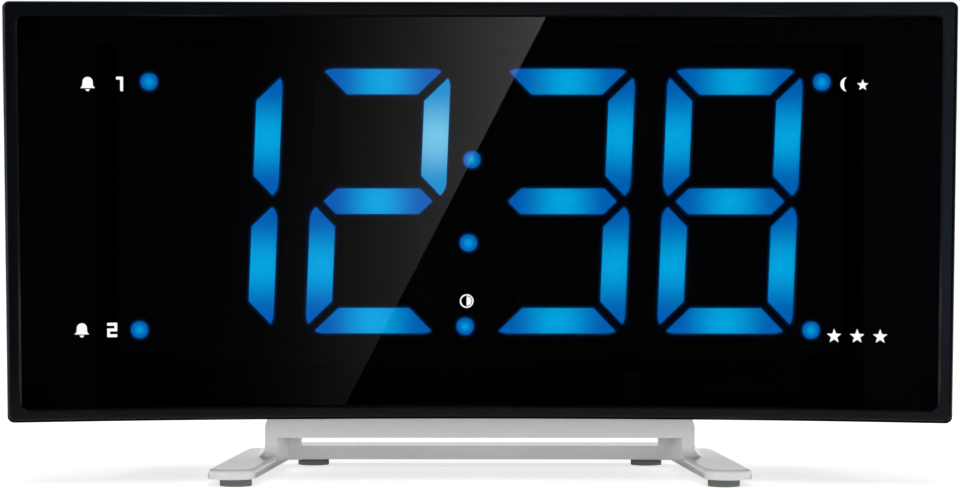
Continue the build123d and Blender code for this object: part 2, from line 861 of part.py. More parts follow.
def unlit_letters():
    return ["".join(sorted(set(all_of) - set(lit))) for all_of, lit in zip(fitted_segments, lit_segments)]


def make_diffusers(faces):
    """Clear-blue blocks that fill the front of their light wells."""
    return Compound([prism(face, reflector_front, reflector_front + segment_depth) for face in faces])


def make_display_reflector():
    reflector = block(0, display_z, reflector_width, reflector_height, reflector_front, reflector_back)
    wells = digit_faces(fitted_segments, 0) + dot_faces(0)
    reflector -= [prism(well, reflector_front - overrun, reflector_back + overrun) for well in wells]
    head_seat = reflector_back - reflector_web
    hole = small_screw_diameter + 2 * screw_gap
    for x, z in display_screw_places():
        reflector -= rod(x, z, hole, reflector_front, reflector_back + overrun)
        reflector -= rod(x, z, small_head_diameter + 2 * head_gap, reflector_front - overrun, head_seat)
    return reflector


def make_display_board():
    board = block(0, display_z, reflector_width, reflector_height, reflector_back, display_board_back)
    hole = small_screw_diameter + 2 * screw_gap
    for x, z in display_screw_places():
        board -= rod(x, z, hole, reflector_front, display_board_back + overrun)
    return board


def make_segment_leds():
    leds = []
    near = reflector_back - led_height
    for face in digit_faces(fitted_segments, 0) + dot_faces(0):
        middle = face.center()
        leds.append(block(middle.X, middle.Y, led_length, led_width, near, reflector_back))
    return Compound(leds)


def make_display_screws():
    screws = []
    for x, z in display_screw_places():
        screws.append(front_plane(x, reflector_back - reflector_web, z) * small_screw())
    return Compound(screws)


# Boards and what is soldered to them
def board_point(shares):
    """X and Z of a place on the main board."""
    x = main_board_x + (shares[0] - 1 / 2) * main_board_width
    return x, main_board_z + (shares[1] - 1 / 2) * main_board_height


def make_main_board():
    """Board with screw holes, kept clear of the stand's screw bosses below it."""
    board = block(main_board_x, main_board_z, main_board_width, main_board_height, main_board_depth,
                  main_board_back)
    hole = small_screw_diameter + 2 * screw_gap
    for x, z in main_board_screw_places():
        board -= rod(x, z, hole, main_board_depth - overrun, main_board_back + overrun)
    boss_top = floor_top + stand_boss_height
    for x, depth in stand_screw_places():
        notch = stand_boss_diameter + 2 * main_board_gap
        board -= column(x, depth, notch, floor_top, boss_top + main_board_gap)
    return board


def make_key_board():
    board = Rectangle(key_board_length, key_board_width)
    hole = Circle(small_screw_diameter / 2 + screw_gap)
    board -= [Pos(side * rib_spread / 2, key_screw_depth - key_depth) * hole for side in both_sides]
    return extrude(Pos(0, front_y + key_depth, key_board_low) * board, board_thickness)


def make_board_screws():
    screws = [front_plane(x, main_board_depth, z) * small_screw() for x, z in main_board_screw_places()]
    for side in both_sides:
        screws.append(Pos(side * rib_spread / 2, front_y + key_screw_depth, key_board_top) * small_screw())
    return Compound(screws)


def make_chip(size, shares):
    x, z = board_point(shares)
    return block(x, z, size, size, main_board_depth - chip_height, main_board_depth)


def make_clock_crystal():
    x, z = board_point(crystal_shares)
    y = front_y + main_board_depth - crystal_diameter / 2
    return extrude(Pos(x, y, z) * Circle(crystal_diameter / 2), crystal_length)


def make_capacitors():
    """Upright cans with a groove near the board."""
    cans = []
    radius = capacitor_diameter / 2
    groove = capacitor_height * capacitor_groove_share
    for shares in capacitor_places_shares:
        x, z = board_point(shares)
        neck = radius - capacitor_groove
        points = [
            (0, 0), (radius, 0), (radius, groove - capacitor_groove), (neck, groove),
            (radius, groove + capacitor_groove), (radius, capacitor_height), (0, capacitor_height),
        ]
        profile = make_face(Polyline(*points, close=True))
        cans.append(front_plane(x, main_board_depth, z) * revolve(Plane.XZ * profile, Axis.Z))
    return Compound(cans)


def make_pin_header():
    x, z = board_point(header_shares)
    near = main_board_depth - header_base_height
    header = block(x, z, header_pins * header_pitch, header_pitch, near, main_board_depth)
    for pin in range(header_pins):
        pin_x = x + (pin - (header_pins - 1) / 2) * header_pitch
        header += block(pin_x, z, header_pin, header_pin, display_board_back, main_board_depth)
    return header


# Keys, snooze bar and switches
def key_face(length, width, corner, grow):
    return RectangleRounded(length + 2 * grow, width + 2 * grow, corner + grow)


def key_places():
    """X of each key by name."""
    left = [-first_key - key_pitch * step for step in reversed(range(len(left_keys)))]
    right = [first_key + key_pitch * step for step in range(len(right_keys))]
    return dict(zip(left_keys + right_keys, left + right))


def make_key(x, length, width, corner, proud, edge, plungers):
    """Cap through the deck, flange under it, and a plunger over each switch."""
    y = front_y + key_depth
    cap_height = pod_top + proud - flange_top
    cap = extrude(Pos(x, y, flange_top) * key_face(length, width, corner, 0), cap_height)
    cap = fillet(cap.faces().sort_by(Axis.Z)[-1].edges(), edge)
    flange_low = flange_top - flange_thickness
    flange = key_face(length, width, corner, flange_width)
    key = cap + extrude(Pos(x, y, flange_low) * flange, flange_thickness)
    for offset in plungers:
        key += column(x + offset, key_depth, plunger_diameter, plunger_low, flange_low)
    return key


def switch_places():
    half = snooze_switch_spread / 2
    return [-half, half] + list(key_places().values())


def make_key_switches():
    switches = []
    square = Rectangle(switch_size, switch_size)
    bore = switch_button_diameter + 2 * switch_button_gap
    bore_low = switch_top - switch_bore_depth
    for x in switch_places():
        body = extrude(Pos(x, front_y + key_depth, key_board_top) * square, switch_height)
        switches.append(body - column(x, key_depth, bore, bore_low, switch_top + overrun))
    return Compound(switches)


def switch_button(x):
    """Moving button of one switch, up to the plunger that presses it."""
    return column(x, key_depth, switch_button_diameter, switch_top - switch_button_buried, plunger_low)


# Power inlet
def make_power_inlet():
    collar_near = pod_inner_depth - inlet_collar_gap
    inlet = block(inlet_x, inlet_z, inlet_body, inlet_body, main_board_back, collar_near)
    inlet += rod(inlet_x, inlet_z, inlet_collar_diameter, collar_near, pod_depth)
    inlet -= rod(inlet_x, inlet_z, inlet_bore_diameter, pod_depth - inlet_bore_depth, pod_depth + overrun)
    root = pod_depth - inlet_bore_depth - inlet_pin_root
    return inlet - rod(inlet_x, inlet_z, inlet_pin_root_diameter + 2 * seat_gap, root, pod_depth)


def make_inlet_pin():
    bore_floor = pod_depth - inlet_bore_depth
    pin = rod(inlet_x, inlet_z, inlet_pin_diameter, bore_floor, pod_depth - inlet_pin_recess)
    return pin + rod(inlet_x, inlet_z, inlet_pin_root_diameter, bore_floor - inlet_pin_root, bore_floor)


# Speaker, drawn as half sections that turn about its axis; heights run forward from the back wall
def turned_speaker_part(points):
    profile = make_face(Polyline(*points, close=True))
    return front_plane(speaker_x, pod_inner_depth, speaker_z) * revolve(Plane.XZ * profile, Axis.Z)


def make_speaker_frame():
    rim = speaker_diameter / 2
    mouth = rim - speaker_flange
    base = basket_base_diameter / 2
    base_top = basket_depth + basket_base_thickness
    return turned_speaker_part([
        (mouth, 0), (rim, 0), (rim, speaker_flange_thickness),
        (mouth + basket_wall, speaker_flange_thickness), (base, basket_depth), (base, base_top),
        (0, base_top), (0, basket_depth), (base - basket_wall, basket_depth),
        (mouth, speaker_flange_thickness),
    ])


def make_speaker_magnet():
    near = pod_inner_depth - basket_depth - basket_base_thickness
    return rod(speaker_x, speaker_z, magnet_diameter, near - magnet_height, near)


def make_speaker_cone():
    rim = speaker_diameter / 2 - speaker_flange - cone_gap
    neck = cone_neck_diameter / 2
    return turned_speaker_part([
        (rim, cone_gap), (rim, cone_gap + cone_thickness), (neck, cone_depth + cone_thickness),
        (0, cone_depth + cone_thickness), (0, cone_depth - dust_cap_rise),
        (neck / 2, cone_depth - dust_cap_rise), (neck, cone_depth),
    ])


# Coin cell, contacts and cap
def make_coin_cell():
    return rod(cell_x, cell_z, cell_diameter, cell_near, cell_far)


def make_cell_contacts():
    flat = block(cell_x, cell_z, contact_length, contact_width, cell_near - contact_thickness, cell_near)
    inner = cell_diameter / 2 + contact_gap
    leaf = sector(inner, inner + contact_thickness, half_turn / 2, side_contact_angle)
    return Compound([flat, prism(Pos(cell_x, cell_z) * leaf, cell_near, cell_far - contact_gap)])


def make_cell_cap():
    """Turning cap with a coin slot, a neck over the cell and two tabs."""
    cap = rod(cell_x, cell_z, cap_diameter, cap_under, pod_depth)
    neck_outer = cup_bore - cap_gap
    neck = Circle(neck_outer) - Circle(neck_outer - cap_neck_wall)
    cap += prism(Pos(cell_x, cell_z) * neck, tab_near, cap_under)
    for angle in (0, half_turn):
        tab = sector(neck_outer - cap_neck_wall / 2, cup_bore + cap_tab_reach, angle, cap_tab_angle)
        cap += prism(Pos(cell_x, cell_z) * tab, tab_near, tab_near + cap_tab_thickness)
    slot = Pos(cell_x, cell_z) * SlotOverall(coin_slot_length, coin_slot_width)
    return cap - prism(slot, pod_depth - coin_slot_depth, pod_depth + overrun)


def make_parts():
    """Every piece by the name of its file."""
    parts = {
        "front_frame": make_front_frame(),
        "front_lens": make_front_lens(),
        "rear_housing": make_rear_housing(),
        "housing_screws": make_housing_screws(),
        "stand": make_stand(),
        "rubber_feet": make_rubber_feet(),
        "stand_screws": make_stand_screws(),
        "display_reflector": make_display_reflector(),
        "lit_segments": make_diffusers(digit_faces(lit_segments, seat_gap)),
        "unlit_segments": make_diffusers(digit_faces(unlit_letters(), seat_gap)),
        "indicator_dots": make_diffusers(dot_faces(seat_gap)),
        "display_board": make_display_board(),
        "segment_leds": make_segment_leds(),
        "display_screws": make_display_screws(),
        "main_board": make_main_board(),
        "key_board": make_key_board(),
        "board_screws": make_board_screws(),
        "clock_chip": make_chip(clock_chip_size, clock_chip_shares),
        "radio_chip": make_chip(radio_chip_size, radio_chip_shares),
        "clock_crystal": make_clock_crystal(),
        "capacitors": make_capacitors(),
        "pin_header": make_pin_header(),
        "power_inlet": make_power_inlet(),
        "inlet_pin": make_inlet_pin(),
        "speaker_frame": make_speaker_frame(),
        "speaker_magnet": make_speaker_magnet(),
        "speaker_cone": make_speaker_cone(),
        "coin_cell": make_coin_cell(),
        "cell_contacts": make_cell_contacts(),
        "cell_cap": make_cell_cap(),
        "key_switches": make_key_switches(),
    }
    half = snooze_switch_spread / 2
    parts["snooze_bar"] = make_key(0, snooze_length, snooze_width, snooze_corner, snooze_proud, snooze_round,
                                   (-half, half))
    parts["snooze_switch_buttons"] = Compound([switch_button(-half), switch_button(half)])
    for name, x in key_places().items():
        parts[name] = make_key(x, key_length, key_width, key_corner, key_proud, key_round, (0,))
        parts[name.replace("key", "switch_button")] = switch_button(x)
    return parts


os.makedirs("parts", exist_ok=True)
for name, shape in make_parts().items():
    export_step(shape, f"parts/{name}.step")
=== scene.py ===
"""Looks of a curved-front LED alarm clock, laid out as an add-on and run as a script."""
import math

import bmesh
import bpy
from bpy.props import FloatProperty, FloatVectorProperty, IntProperty, PointerProperty
from mathutils import Matrix, Vector
from mathutils.bvhtree import BVHTree


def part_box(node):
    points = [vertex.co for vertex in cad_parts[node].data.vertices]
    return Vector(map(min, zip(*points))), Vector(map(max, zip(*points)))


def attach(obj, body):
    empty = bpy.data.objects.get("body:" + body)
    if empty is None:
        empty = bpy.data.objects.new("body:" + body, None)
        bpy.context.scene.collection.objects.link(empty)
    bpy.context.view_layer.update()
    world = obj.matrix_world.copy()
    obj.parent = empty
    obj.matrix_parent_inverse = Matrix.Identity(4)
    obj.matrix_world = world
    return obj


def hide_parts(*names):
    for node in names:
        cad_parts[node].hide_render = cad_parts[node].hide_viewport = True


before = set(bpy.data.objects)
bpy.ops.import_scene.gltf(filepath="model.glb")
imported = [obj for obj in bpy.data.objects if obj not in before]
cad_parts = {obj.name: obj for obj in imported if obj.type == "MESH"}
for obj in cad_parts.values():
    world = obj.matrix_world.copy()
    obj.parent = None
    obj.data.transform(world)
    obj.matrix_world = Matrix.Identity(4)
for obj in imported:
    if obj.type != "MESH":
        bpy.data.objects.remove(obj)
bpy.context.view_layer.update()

bl_info = {
    "name": "Curved alarm clock",
    "version": (1, 0, 0),
    "blender": (4, 5, 0),
    "location": "3D View > Sidebar > Clock",
    "description": "Dresses the solids of a curved-front LED alarm clock",
    "category": "Object",
}

MM = 0.001
# Distances at which points are merged, and at which they count as being in one place
MERGE = 0.001 * MM
CLOSE = 0.01 * MM
KEYS = ("alarm_one", "alarm_two", "sleep", "mode", "minus", "plus")
IMAGE_SIZE = (960, 488)
BLACK = (0, 0, 0, 1)
WHITE = (1, 1, 1, 1)
# Turn of a flat piece that faces the viewer
UPRIGHT = (math.pi / 2, 0, 0)
# Shares of the light that a polished acrylic face mirrors, and that a clear sheet of it lets through
FRONT_MIRROR = 0.0387
SHEET_CLEAR = 0.92
# Power that turns a tone on the screen into light
SCREEN_GAMMA = 2.2
# The lens is spun this much too long, so that both ends can be cut to their lean
SPIN_OVER = 1.002
# Shares of the ink's thickness that stand proud of the lens and of the keys
LENS_INK_PROUD = 0.7
KEY_INK_PROUD = 0.8
# Strokes of a sign that cross lie this far apart
STROKE_GAP = 0.001 * MM
# Size of a recess cutter's foot, in shares of its top
RECESS_TAPER = (0.5, 0.7, 1)
# Squares across and up the softbox
GLARE_GRID = (16, 12)
# Point that the lamps are aimed at
LIGHT_AIM = Vector((0, 0, 0.05))
# Lamps: name, place, width and height in metres, and share of the plain light level
LIGHTS = (("strip_light", (0.1, -1.9, 0.1), (2.6, 0.19), 0.52),
          ("left_light", (-1.8, -0.55, 0.1), (0.8, 0.19), 0.6),
          ("right_light", (1.8, -0.55, 0.1), (0.8, 0.19), 0.6),
          ("top_light", (0.0, -0.3, 1.8), (1.4, 1.4), 0.2))
# Black cloths round the front: name, width and height and place in metres, turns about X, Y, Z in degrees.
# The gaps, on the floor just ahead and at the left, give the frame its paler lower and right sides.
FLAGS = (("flag_front", (1.5, 1.4), (0.15, -1.25, 0.6), (90, 0, 0)),
         ("flag_ahead", (1.8, 1.17), (0, -0.665, 0.0005), (0, 0, 0)),
         ("flag_under", (0.4, 0.1), (0, 0, 0.0005), (0, 0, 0)),
         ("flag_over", (1.8, 1.3), (0, -0.6, 1.3), (0, 0, 0)),
         ("flag_left", (1.4, 0.55), (-0.9, -0.225, 0.6), (0, 90, 0)),
         ("flag_right", (1.4, 1.3), (0.9, -0.6, 0.6), (0, 90, 0)))
# Pale blue card on the floor at the left, just beside what the lens mirrors, given as a flag is. It
# turns the frame's lower right side slate.
COOL_CARD = ("cool_card", (0.5, 1.0), (-0.488, -0.698, 0.001), (0, 0, -24))
# Places of the signs on the lens, in millimetres: X from the middle and Z over the floor
SIGN_PLACES = {"first_alarm": (-71.1, 74.8), "second_alarm": (-72.3, 28.8), "sleep": (70.3, 74.8),
               "stored_stations": (71.0, 27.7), "afternoon": (-2.5, 33.9)}
# Squared figures, drawn as one stroke: each run's X and Z in shares of the figure's height
FIGURES = {"1": ((0.28, 0), (0, -0.8)), "2": ((0.5, 0), (0, -0.4), (-0.5, 0), (0, -0.4), (0.5, 0))}
FIGURE_STROKE_SHARE = 0.2


# Colours and pattern scales
def linear(code):
    """Linear colour of an sRGB hex value."""
    channels = [int(code[i:i + 2], 16) / 255 for i in (0, 2, 4)]
    return [c / 12.92 if c <= 0.04045 else ((c + 0.055) / 1.055) ** 2.4 for c in channels] + [1.0]


def per_metre(size_mm):
    """Pattern scale whose features are this many millimetres across."""
    return 1 / (size_mm * MM)


def colour(label, text, code):
    return FloatVectorProperty(name=label, description=text, subtype="COLOR", size=4, min=0, max=1,
                               default=linear(code))


def length(label, text, size_mm):
    return FloatProperty(name=label, description=text, unit="LENGTH", default=size_mm * MM)


def angle(label, text, degrees):
    return FloatProperty(name=label, description=text, unit="ROTATION", default=math.radians(degrees))


def level(label, text, value):
    return FloatProperty(name=label, description=text, default=value)


def pixels(label, text, value):
    """Length or place in pixels of the image."""
    if isinstance(value, tuple):
        return FloatVectorProperty(name=label, description=text, size=len(value), default=value)
    return FloatProperty(name=label, description=text, subtype="PIXEL", default=value)


class DisplaySettings(bpy.types.PropertyGroup):
    """Sizes and colours of the lit display."""
    lit_middle: colour("Lit middle", "Colour over the LED, at the middle of a lit segment", "00A4D8")
    lit_end: colour("Lit end", "Colour at the ends of a lit segment", "005AAC")
    lit_reach: level("Lit reach", "Where the end colour is reached, in shares of half a segment", 0.86)
    hot_middle: colour("Hot middle", "Colour at the middle of the brightest segment", "72C2DC")
    hot_end: colour("Hot end", "Colour at the ends of the brightest segment", "008CC4")
    unlit: colour("Unlit", "Colour of a segment with its LED off", "0B0D12")
    # Painted light: the film glows in the halo colour beside each lit segment, fading with distance from it.
    halo: colour("Halo", "Light that spills onto the film beside a segment", "00427C")
    halo_reach: length("Halo reach", "How far the spilled light reaches", 1.2)
    halo_fall: level("Halo fall", "How steeply the spilled light falls off", 5.0)
    film_thickness: length("Film thickness", "Thickness of the black film over the display", 0.1)
    film_step: length("Film step", "Spacing of the points that carry the spilled light", 0.7)
    segment_bevel: length("Segment bevel", "Width of the moulded edge round each segment", 0.18)
    slant: angle("Slant", "Lean of the digits", 2.28)
    hot_place: FloatVectorProperty(name="Hot place", description="X and Z of the brightest segment's middle",
                                   subtype="XYZ", unit="LENGTH", size=2, default=(-8.4 * MM, 65.2 * MM))


class CaseSettings(bpy.types.PropertyGroup):
    """Sizes and colours of frame, lens, housing and keys."""
    frame_black: colour("Frame black", "Colour of the front frame", "06080B")
    housing_black: colour("Housing black", "Colour of the rear housing", "1B1C1E")
    key_black: colour("Key black", "Colour of the keys and the snooze bar", "232427")
    lens_tint: colour("Lens tint", "Light that the lens lets through", "8C8C92")
    ink: colour("Ink", "White ink of the printed signs", "F2F2F0")
    front_radius: length("Front radius", "Radius that the front is bent to", 357.0)
    lens_lip: length("Lens lip", "Thickness of the frame's lip in front of the lens", 0.6)
    lens_thickness: length("Lens thickness", "Thickness of the lens", 1.6)
    lens_corner: length("Lens corner", "Corner radius of the lens", 1.0)
    lens_lean: length("Lens lean", "How much further each side of the lens stands out at its top", 0.71)
    lens_steps: IntProperty(name="Lens steps", description="Strips along the bent lens", default=64, min=8)
    ink_thickness: length("Ink thickness", "Thickness of the printed ink", 0.03)
    sign_height: length("Sign height", "Height of the signs on the lens", 3.0)
    key_sign_height: length("Key sign height", "Height of the signs on the keys", 3.6)
    recess_length: length("Recess length", "Width of the cross in a screw head", 2.0)
    recess_width: length("Recess width", "Width of one arm of the cross", 0.5)
    recess_depth: length("Recess depth", "Depth of the cross", 0.7)


class StandSettings(bpy.types.PropertyGroup):
    """Colours of the stand and its pads."""
    silver: colour("Silver", "Colour of the painted stand", "D6D6D4")
    rubber: colour("Rubber", "Colour of the pads", "626261")


class StageSettings(bpy.types.PropertyGroup):
    """Camera, floor and light."""
    camera_distance: length("Camera distance", "From the middle of the front to the camera", 900.0)
    camera_height: length("Camera height", "From the floor to the camera", 82.84)
    camera_pitch: angle("Camera pitch", "How far the camera looks down", 2.428)
    camera_roll: angle("Camera roll", "Turn of the camera about its own line of sight", 0.04)
    focal_px: pixels("Focal length", "Focal length in pixels of the image", 4787.2)
    floor_white: colour("Floor", "Colour of the floor", "F4F4F4")
    floor_size: length("Floor size", "Side of the floor", 9000.0)
    floor_lift: level("Floor lift", "The floor's own light near the clock", 0.68)
    floor_lift_far: level("Far floor lift", "The floor's own light far off", 0.86)
    floor_near: length("Near floor", "How far from the clock the floor's own light starts to rise", 400.0)
    floor_far: length("Far floor", "How far from the clock it has risen", 2000.0)
    world_level: level("World level", "Level of the light from all round", 0.3)
    glare_top: pixels("Glare top", "Pixel at the top of the glare's edge", (546.0, 17.0))
    glare_bottom: pixels("Glare bottom", "Pixel at the foot of the glare's edge", (345.0, 405.0))
    glare_width_top: pixels("Glare width, top", "Pixels that the glare fades over, at the top", 340.0)
    glare_width_bottom: pixels("Glare width, foot", "Pixels that the glare fades over, at the foot", 200.0)
    glare_high: level("Glare high", "Tone of the glare at the top of its edge", 0.25)
    glare_low: level("Glare low", "Tone of the glare at the foot of its edge", 0.086)
    glare_fade: level("Glare fade", "How steeply the glare fades to the left", 1.3)
    glare_distance: length("Glare distance", "From the floor's middle line to the softbox", 160.0)
    cool_light: colour("Cool light", "Colour of the card that the frame's right side mirrors", "AFCBF5")
    cool_level: level("Cool level", "Brightness of that card", 2.2)


# Materials
# Moulded finishes: roughness, then in millimetres the grain's width and depth and a gloss cloud's width.
# Most real grains are finer than a tenth of a millimetre; these are coarser, so that they show. The comments
# say what each finish gives the eye.
MOULDED = {
    # Polished tool: a dark gloss with the faint waviness that moulded gloss has
    "polished_black_abs": (0.24, 5.0, 0.004, 40.0),
    # Plain tool: an even half-matt black that hides the light wells
    "moulded_black_reflector_abs": (0.55, 0.4, 0.02, 8.0),
    # Spark-eroded tool: the pebbled satin of a black housing
    "spark_eroded_black_abs": (0.5, 0.45, 0.03, 25.0),
    # Frosted diffuser with its LED off: a dull blue-black
    "unlit_blue_polycarbonate": (0.4, 0.5, 0.01, 6.0),
    # Soft keys: dull, with a fine tooth
    "moulded_black_silicone_rubber": (0.62, 0.25, 0.012, 9.0),
    # Pads: a dusty matt grey
    "moulded_grey_rubber": (0.75, 0.3, 0.02, 5.0),
    # Inlet and switches: a dense black with a slight sheen
    "moulded_black_nylon": (0.45, 0.3, 0.01, 6.0),
    # Moving buttons: smooth and slightly waxy
    "moulded_grey_nylon": (0.5, 0.3, 0.006, 3.0),
    # Speaker cone: fibrous, with no gloss at all
    "black_pressed_pulp": (0.9, 0.5, 0.08, 4.0),
    # Magnet: dark ground ceramic with a fine grit
    "sintered_ferrite": (0.55, 0.12, 0.01, 3.0),
    # Chips: a fine black with a soft sheen
    "moulded_epoxy_package": (0.5, 0.1, 0.004, 2.0),
    # LEDs: milky and smooth
    "white_led_epoxy": (0.3, 0.3, 0.004, 2.0),
    # Printed ink: an even white with a slightly pebbled surface
    "screen_printed_lens_ink": (0.5, 0.3, 0.003, 3.0),
    "pad_printed_key_ink": (0.5, 0.3, 0.003, 3.0),
}
# Metals: colour, roughness, width of the streaks in millimetres, and the streaks' scale along X, Y and Z
METALS = {
    # Barrel-plated screws and stampings: a cool, slightly blotchy grey
    "zinc_plated_steel": ("B9BCC0", 0.3, 0.3, (1, 1, 1)),
    # Contacts and cell: a warm near-mirror with faint lines
    "bright_nickel_plate": ("CFCBC0", 0.16, 0.2, (1, 0.1, 1)),
    # Cans: soft silver, with lines that run up the wall
    "drawn_aluminium_can": ("C8CACC", 0.28, 0.3, (1, 1, 0.1)),
    # Header pins: yellow, with lines along the pin
    "gold_flashed_brass": ("C9A255", 0.25, 0.2, (1, 0.1, 1)),
}
# Shares by which a finish varies either way: a moulding's gloss and tone, a metal's gloss, and paint flakes
CLOUD_GLOSS = 0.15
CLOUD_TONE = 0.1
STREAK_GLOSS = 0.3
FLAKE_TONE = 0.03


def new_material(name):
    """Empty material: its node tree and its main shader."""
    material = bpy.data.materials.new(name)
    material.use_nodes = True
    return material, material.node_tree, material.node_tree.nodes["Principled BSDF"]


def add_node(tree, kind, values, **settings):
    """Node with its settings, and its inputs linked or set."""
    node = tree.nodes.new(kind)
    for name, value in settings.items():
        setattr(node, name, value)
    fill(tree, node, values)
    return node


def fill(tree, node, values):
    """Link each input to a socket or to a node's first open output, or set it to a value."""
    for socket, value in values.items():
        if isinstance(value, bpy.types.Node):
            value = next(output for output in value.outputs if output.enabled)
        if isinstance(value, bpy.types.NodeSocket):
            tree.links.new(value, node.inputs[socket])
        else:
            node.inputs[socket].default_value = value


def shade(base, share):
    """Colour made this much darker or paler."""
    return [min(1.0, c * share) for c in base[:3]] + [1.0]


def moulded(name, base):
    """Moulded plastic, rubber or ink: fine grain as bump, and a slow drift of gloss."""
    roughness, grain_mm, depth_mm, cloud_mm = MOULDED[name]
    material, tree, shader = new_material(name)
    place = add_node(tree, "ShaderNodeTexCoord", {}).outputs["Object"]
    grain, cloud = (add_node(tree, "ShaderNodeTexNoise", {"Vector": place, "Scale": per_metre(size_mm),
                                                          "Detail": detail})
                    for size_mm, detail in ((grain_mm, 2.0), (cloud_mm, 3.0)))
    gloss = add_node(tree, "ShaderNodeMapRange", {"Value": cloud, "To Min": roughness * (1 - CLOUD_GLOSS),
                                                  "To Max": roughness * (1 + CLOUD_GLOSS)})
    tone = add_node(tree, "ShaderNodeMix", {0: cloud, 6: shade(base, 1 - CLOUD_TONE),
                                            7: shade(base, 1 + CLOUD_TONE)}, data_type="RGBA")
    bump = add_node(tree, "ShaderNodeBump", {"Height": grain, "Distance": depth_mm * MM, "Strength": 0.6})
    fill(tree, shader, {"Base Color": tone, "Roughness": gloss, "Normal": bump, "IOR": 1.52})
    return material


def metal(name):
    """Bare or plated metal: fine streaks along one axis change its gloss."""
    code, roughness, grain_mm, stretch = METALS[name]
    material, tree, shader = new_material(name)
    place = add_node(tree, "ShaderNodeTexCoord", {}).outputs["Object"]
    turned = add_node(tree, "ShaderNodeMapping", {"Vector": place, "Scale": stretch})
    streaks = add_node(tree, "ShaderNodeTexNoise", {"Vector": turned, "Scale": per_metre(grain_mm),
                                                    "Detail": 3.0})
    gloss = add_node(tree, "ShaderNodeMapRange", {"Value": streaks, "To Min": roughness * (1 - STREAK_GLOSS),
                                                  "To Max": roughness * (1 + STREAK_GLOSS)})
    bump = add_node(tree, "ShaderNodeBump", {"Height": streaks, "Distance": 0.01 * MM, "Strength": 0.3})
    fill(tree, shader, {"Base Color": linear(code), "Metallic": 1.0, "Roughness": gloss, "Normal": bump})
    return material


def polished_abs(base):
    """ABS from a polished tool, whose hard skin lays a thin, sharper gloss over the first."""
    material = moulded("polished_black_abs", base)
    tree = material.node_tree
    fill(tree, tree.nodes["Principled BSDF"], {"Coat Weight": 0.25, "Coat Roughness": 0.12})
    return material


def tinted_acrylic(tint):
    """Cast acrylic with smoke tint, polished on both faces: mirror gloss over a dark see-through sheet."""
    material, tree, shader = new_material("smoke_tinted_acrylic")
    place = add_node(tree, "ShaderNodeTexCoord", {}).outputs["Object"]
    wave = add_node(tree, "ShaderNodeTexNoise", {"Vector": place, "Scale": per_metre(60.0), "Detail": 0.0})
    bump = add_node(tree, "ShaderNodeBump", {"Height": wave, "Distance": 0.004 * MM, "Strength": 0.2})
    fill(tree, shader, {"Base Color": tint, "Transmission Weight": 1.0, "Roughness": 0.0, "IOR": 1.49,
                        "Normal": bump})
    return material


def lens_gain(tint):
    """How much brighter a lit piece has to be to show its colour through the lens."""
    return 1 / (tint[1] * SHEET_CLEAR)


def lit_diffuser(display, case):
    """Blue polycarbonate over an LED: brightest at the middle, deeper blue towards both ends."""
    material, tree, shader = new_material("lit_blue_polycarbonate")
    place = add_node(tree, "ShaderNodeUVMap", {}, uv_map="along_segment")
    reach = add_node(tree, "ShaderNodeVectorMath", {0: place}, operation="LENGTH")
    fade = add_node(tree, "ShaderNodeMapRange", {"Value": reach, "From Max": display.lit_reach},
                    interpolation_type="SMOOTHSTEP")
    heat = add_node(tree, "ShaderNodeAttribute", {}, attribute_name="led_drive").outputs["Fac"]
    plain = add_node(tree, "ShaderNodeMix", {0: fade, 6: display.lit_middle, 7: display.lit_end},
                     data_type="RGBA")
    hot = add_node(tree, "ShaderNodeMix", {0: fade, 6: display.hot_middle, 7: display.hot_end},
                   data_type="RGBA")
    glow = add_node(tree, "ShaderNodeMix", {0: heat, 6: plain, 7: hot}, data_type="RGBA")
    fill(tree, shader, {"Base Color": display.unlit, "Roughness": 0.4, "IOR": 1.58, "Emission Color": glow,
                        "Emission Strength": lens_gain(case.lens_tint)})
    return material


def display_film(display, case):
    """Matt black polyester film, with the light that spills out beside each lit segment painted on as its
    own glow.
    """
    material, tree, shader = new_material("matt_black_polyester_film")
    place = add_node(tree, "ShaderNodeTexCoord", {}).outputs["Object"]
    grain = add_node(tree, "ShaderNodeTexNoise", {"Vector": place, "Scale": per_metre(0.4), "Detail": 1.0})
    bump = add_node(tree, "ShaderNodeBump", {"Height": grain, "Distance": 0.01 * MM, "Strength": 0.3})
    # Painted glow: emission that falls off with the stored distance from the nearest lit piece.
    far = add_node(tree, "ShaderNodeAttribute", {}, attribute_name="from_light").outputs["Fac"]
    near = add_node(tree, "ShaderNodeMath", {0: 1.0, 1: far}, operation="SUBTRACT", use_clamp=True)
    spill = add_node(tree, "ShaderNodeMath", {0: near, 1: display.halo_fall}, operation="POWER")
    light = add_node(tree, "ShaderNodeMix", {0: spill, 6: BLACK, 7: display.halo}, data_type="RGBA")
    fill(tree, shader, {"Base Color": linear("060607"), "Roughness": 0.7, "Normal": bump,
                        "Emission Color": light, "Emission Strength": lens_gain(case.lens_tint)})
    return material


def silver_paint(base):
    """Silver lacquer over ABS: fine bright flakes under a satin clear coat."""
    material, tree, shader = new_material("satin_silver_lacquer")
    place = add_node(tree, "ShaderNodeTexCoord", {}).outputs["Object"]
    # Real flakes are a few hundredths of a millimetre; these are coarser, so that they show.
    flakes = add_node(tree, "ShaderNodeTexVoronoi", {"Vector": place, "Scale": per_metre(0.25)})
    spark = add_node(tree, "ShaderNodeSeparateColor", {"Color": flakes.outputs["Color"]})
    tone = add_node(tree, "ShaderNodeMix", {0: spark, 6: shade(base, 1 - FLAKE_TONE),
                                            7: shade(base, 1 + FLAKE_TONE)}, data_type="RGBA")
    peel = add_node(tree, "ShaderNodeTexNoise", {"Vector": place, "Scale": per_metre(1.6), "Detail": 1.0})
    bump = add_node(tree, "ShaderNodeBump", {"Height": peel, "Distance": 0.006 * MM, "Strength": 0.35})
    fill(tree, shader, {"Base Color": tone, "Metallic": 0.1, "Roughness": 0.4, "Normal": bump,
                        "Coat Weight": 0.65, "Coat Roughness": 0.1})
    return material


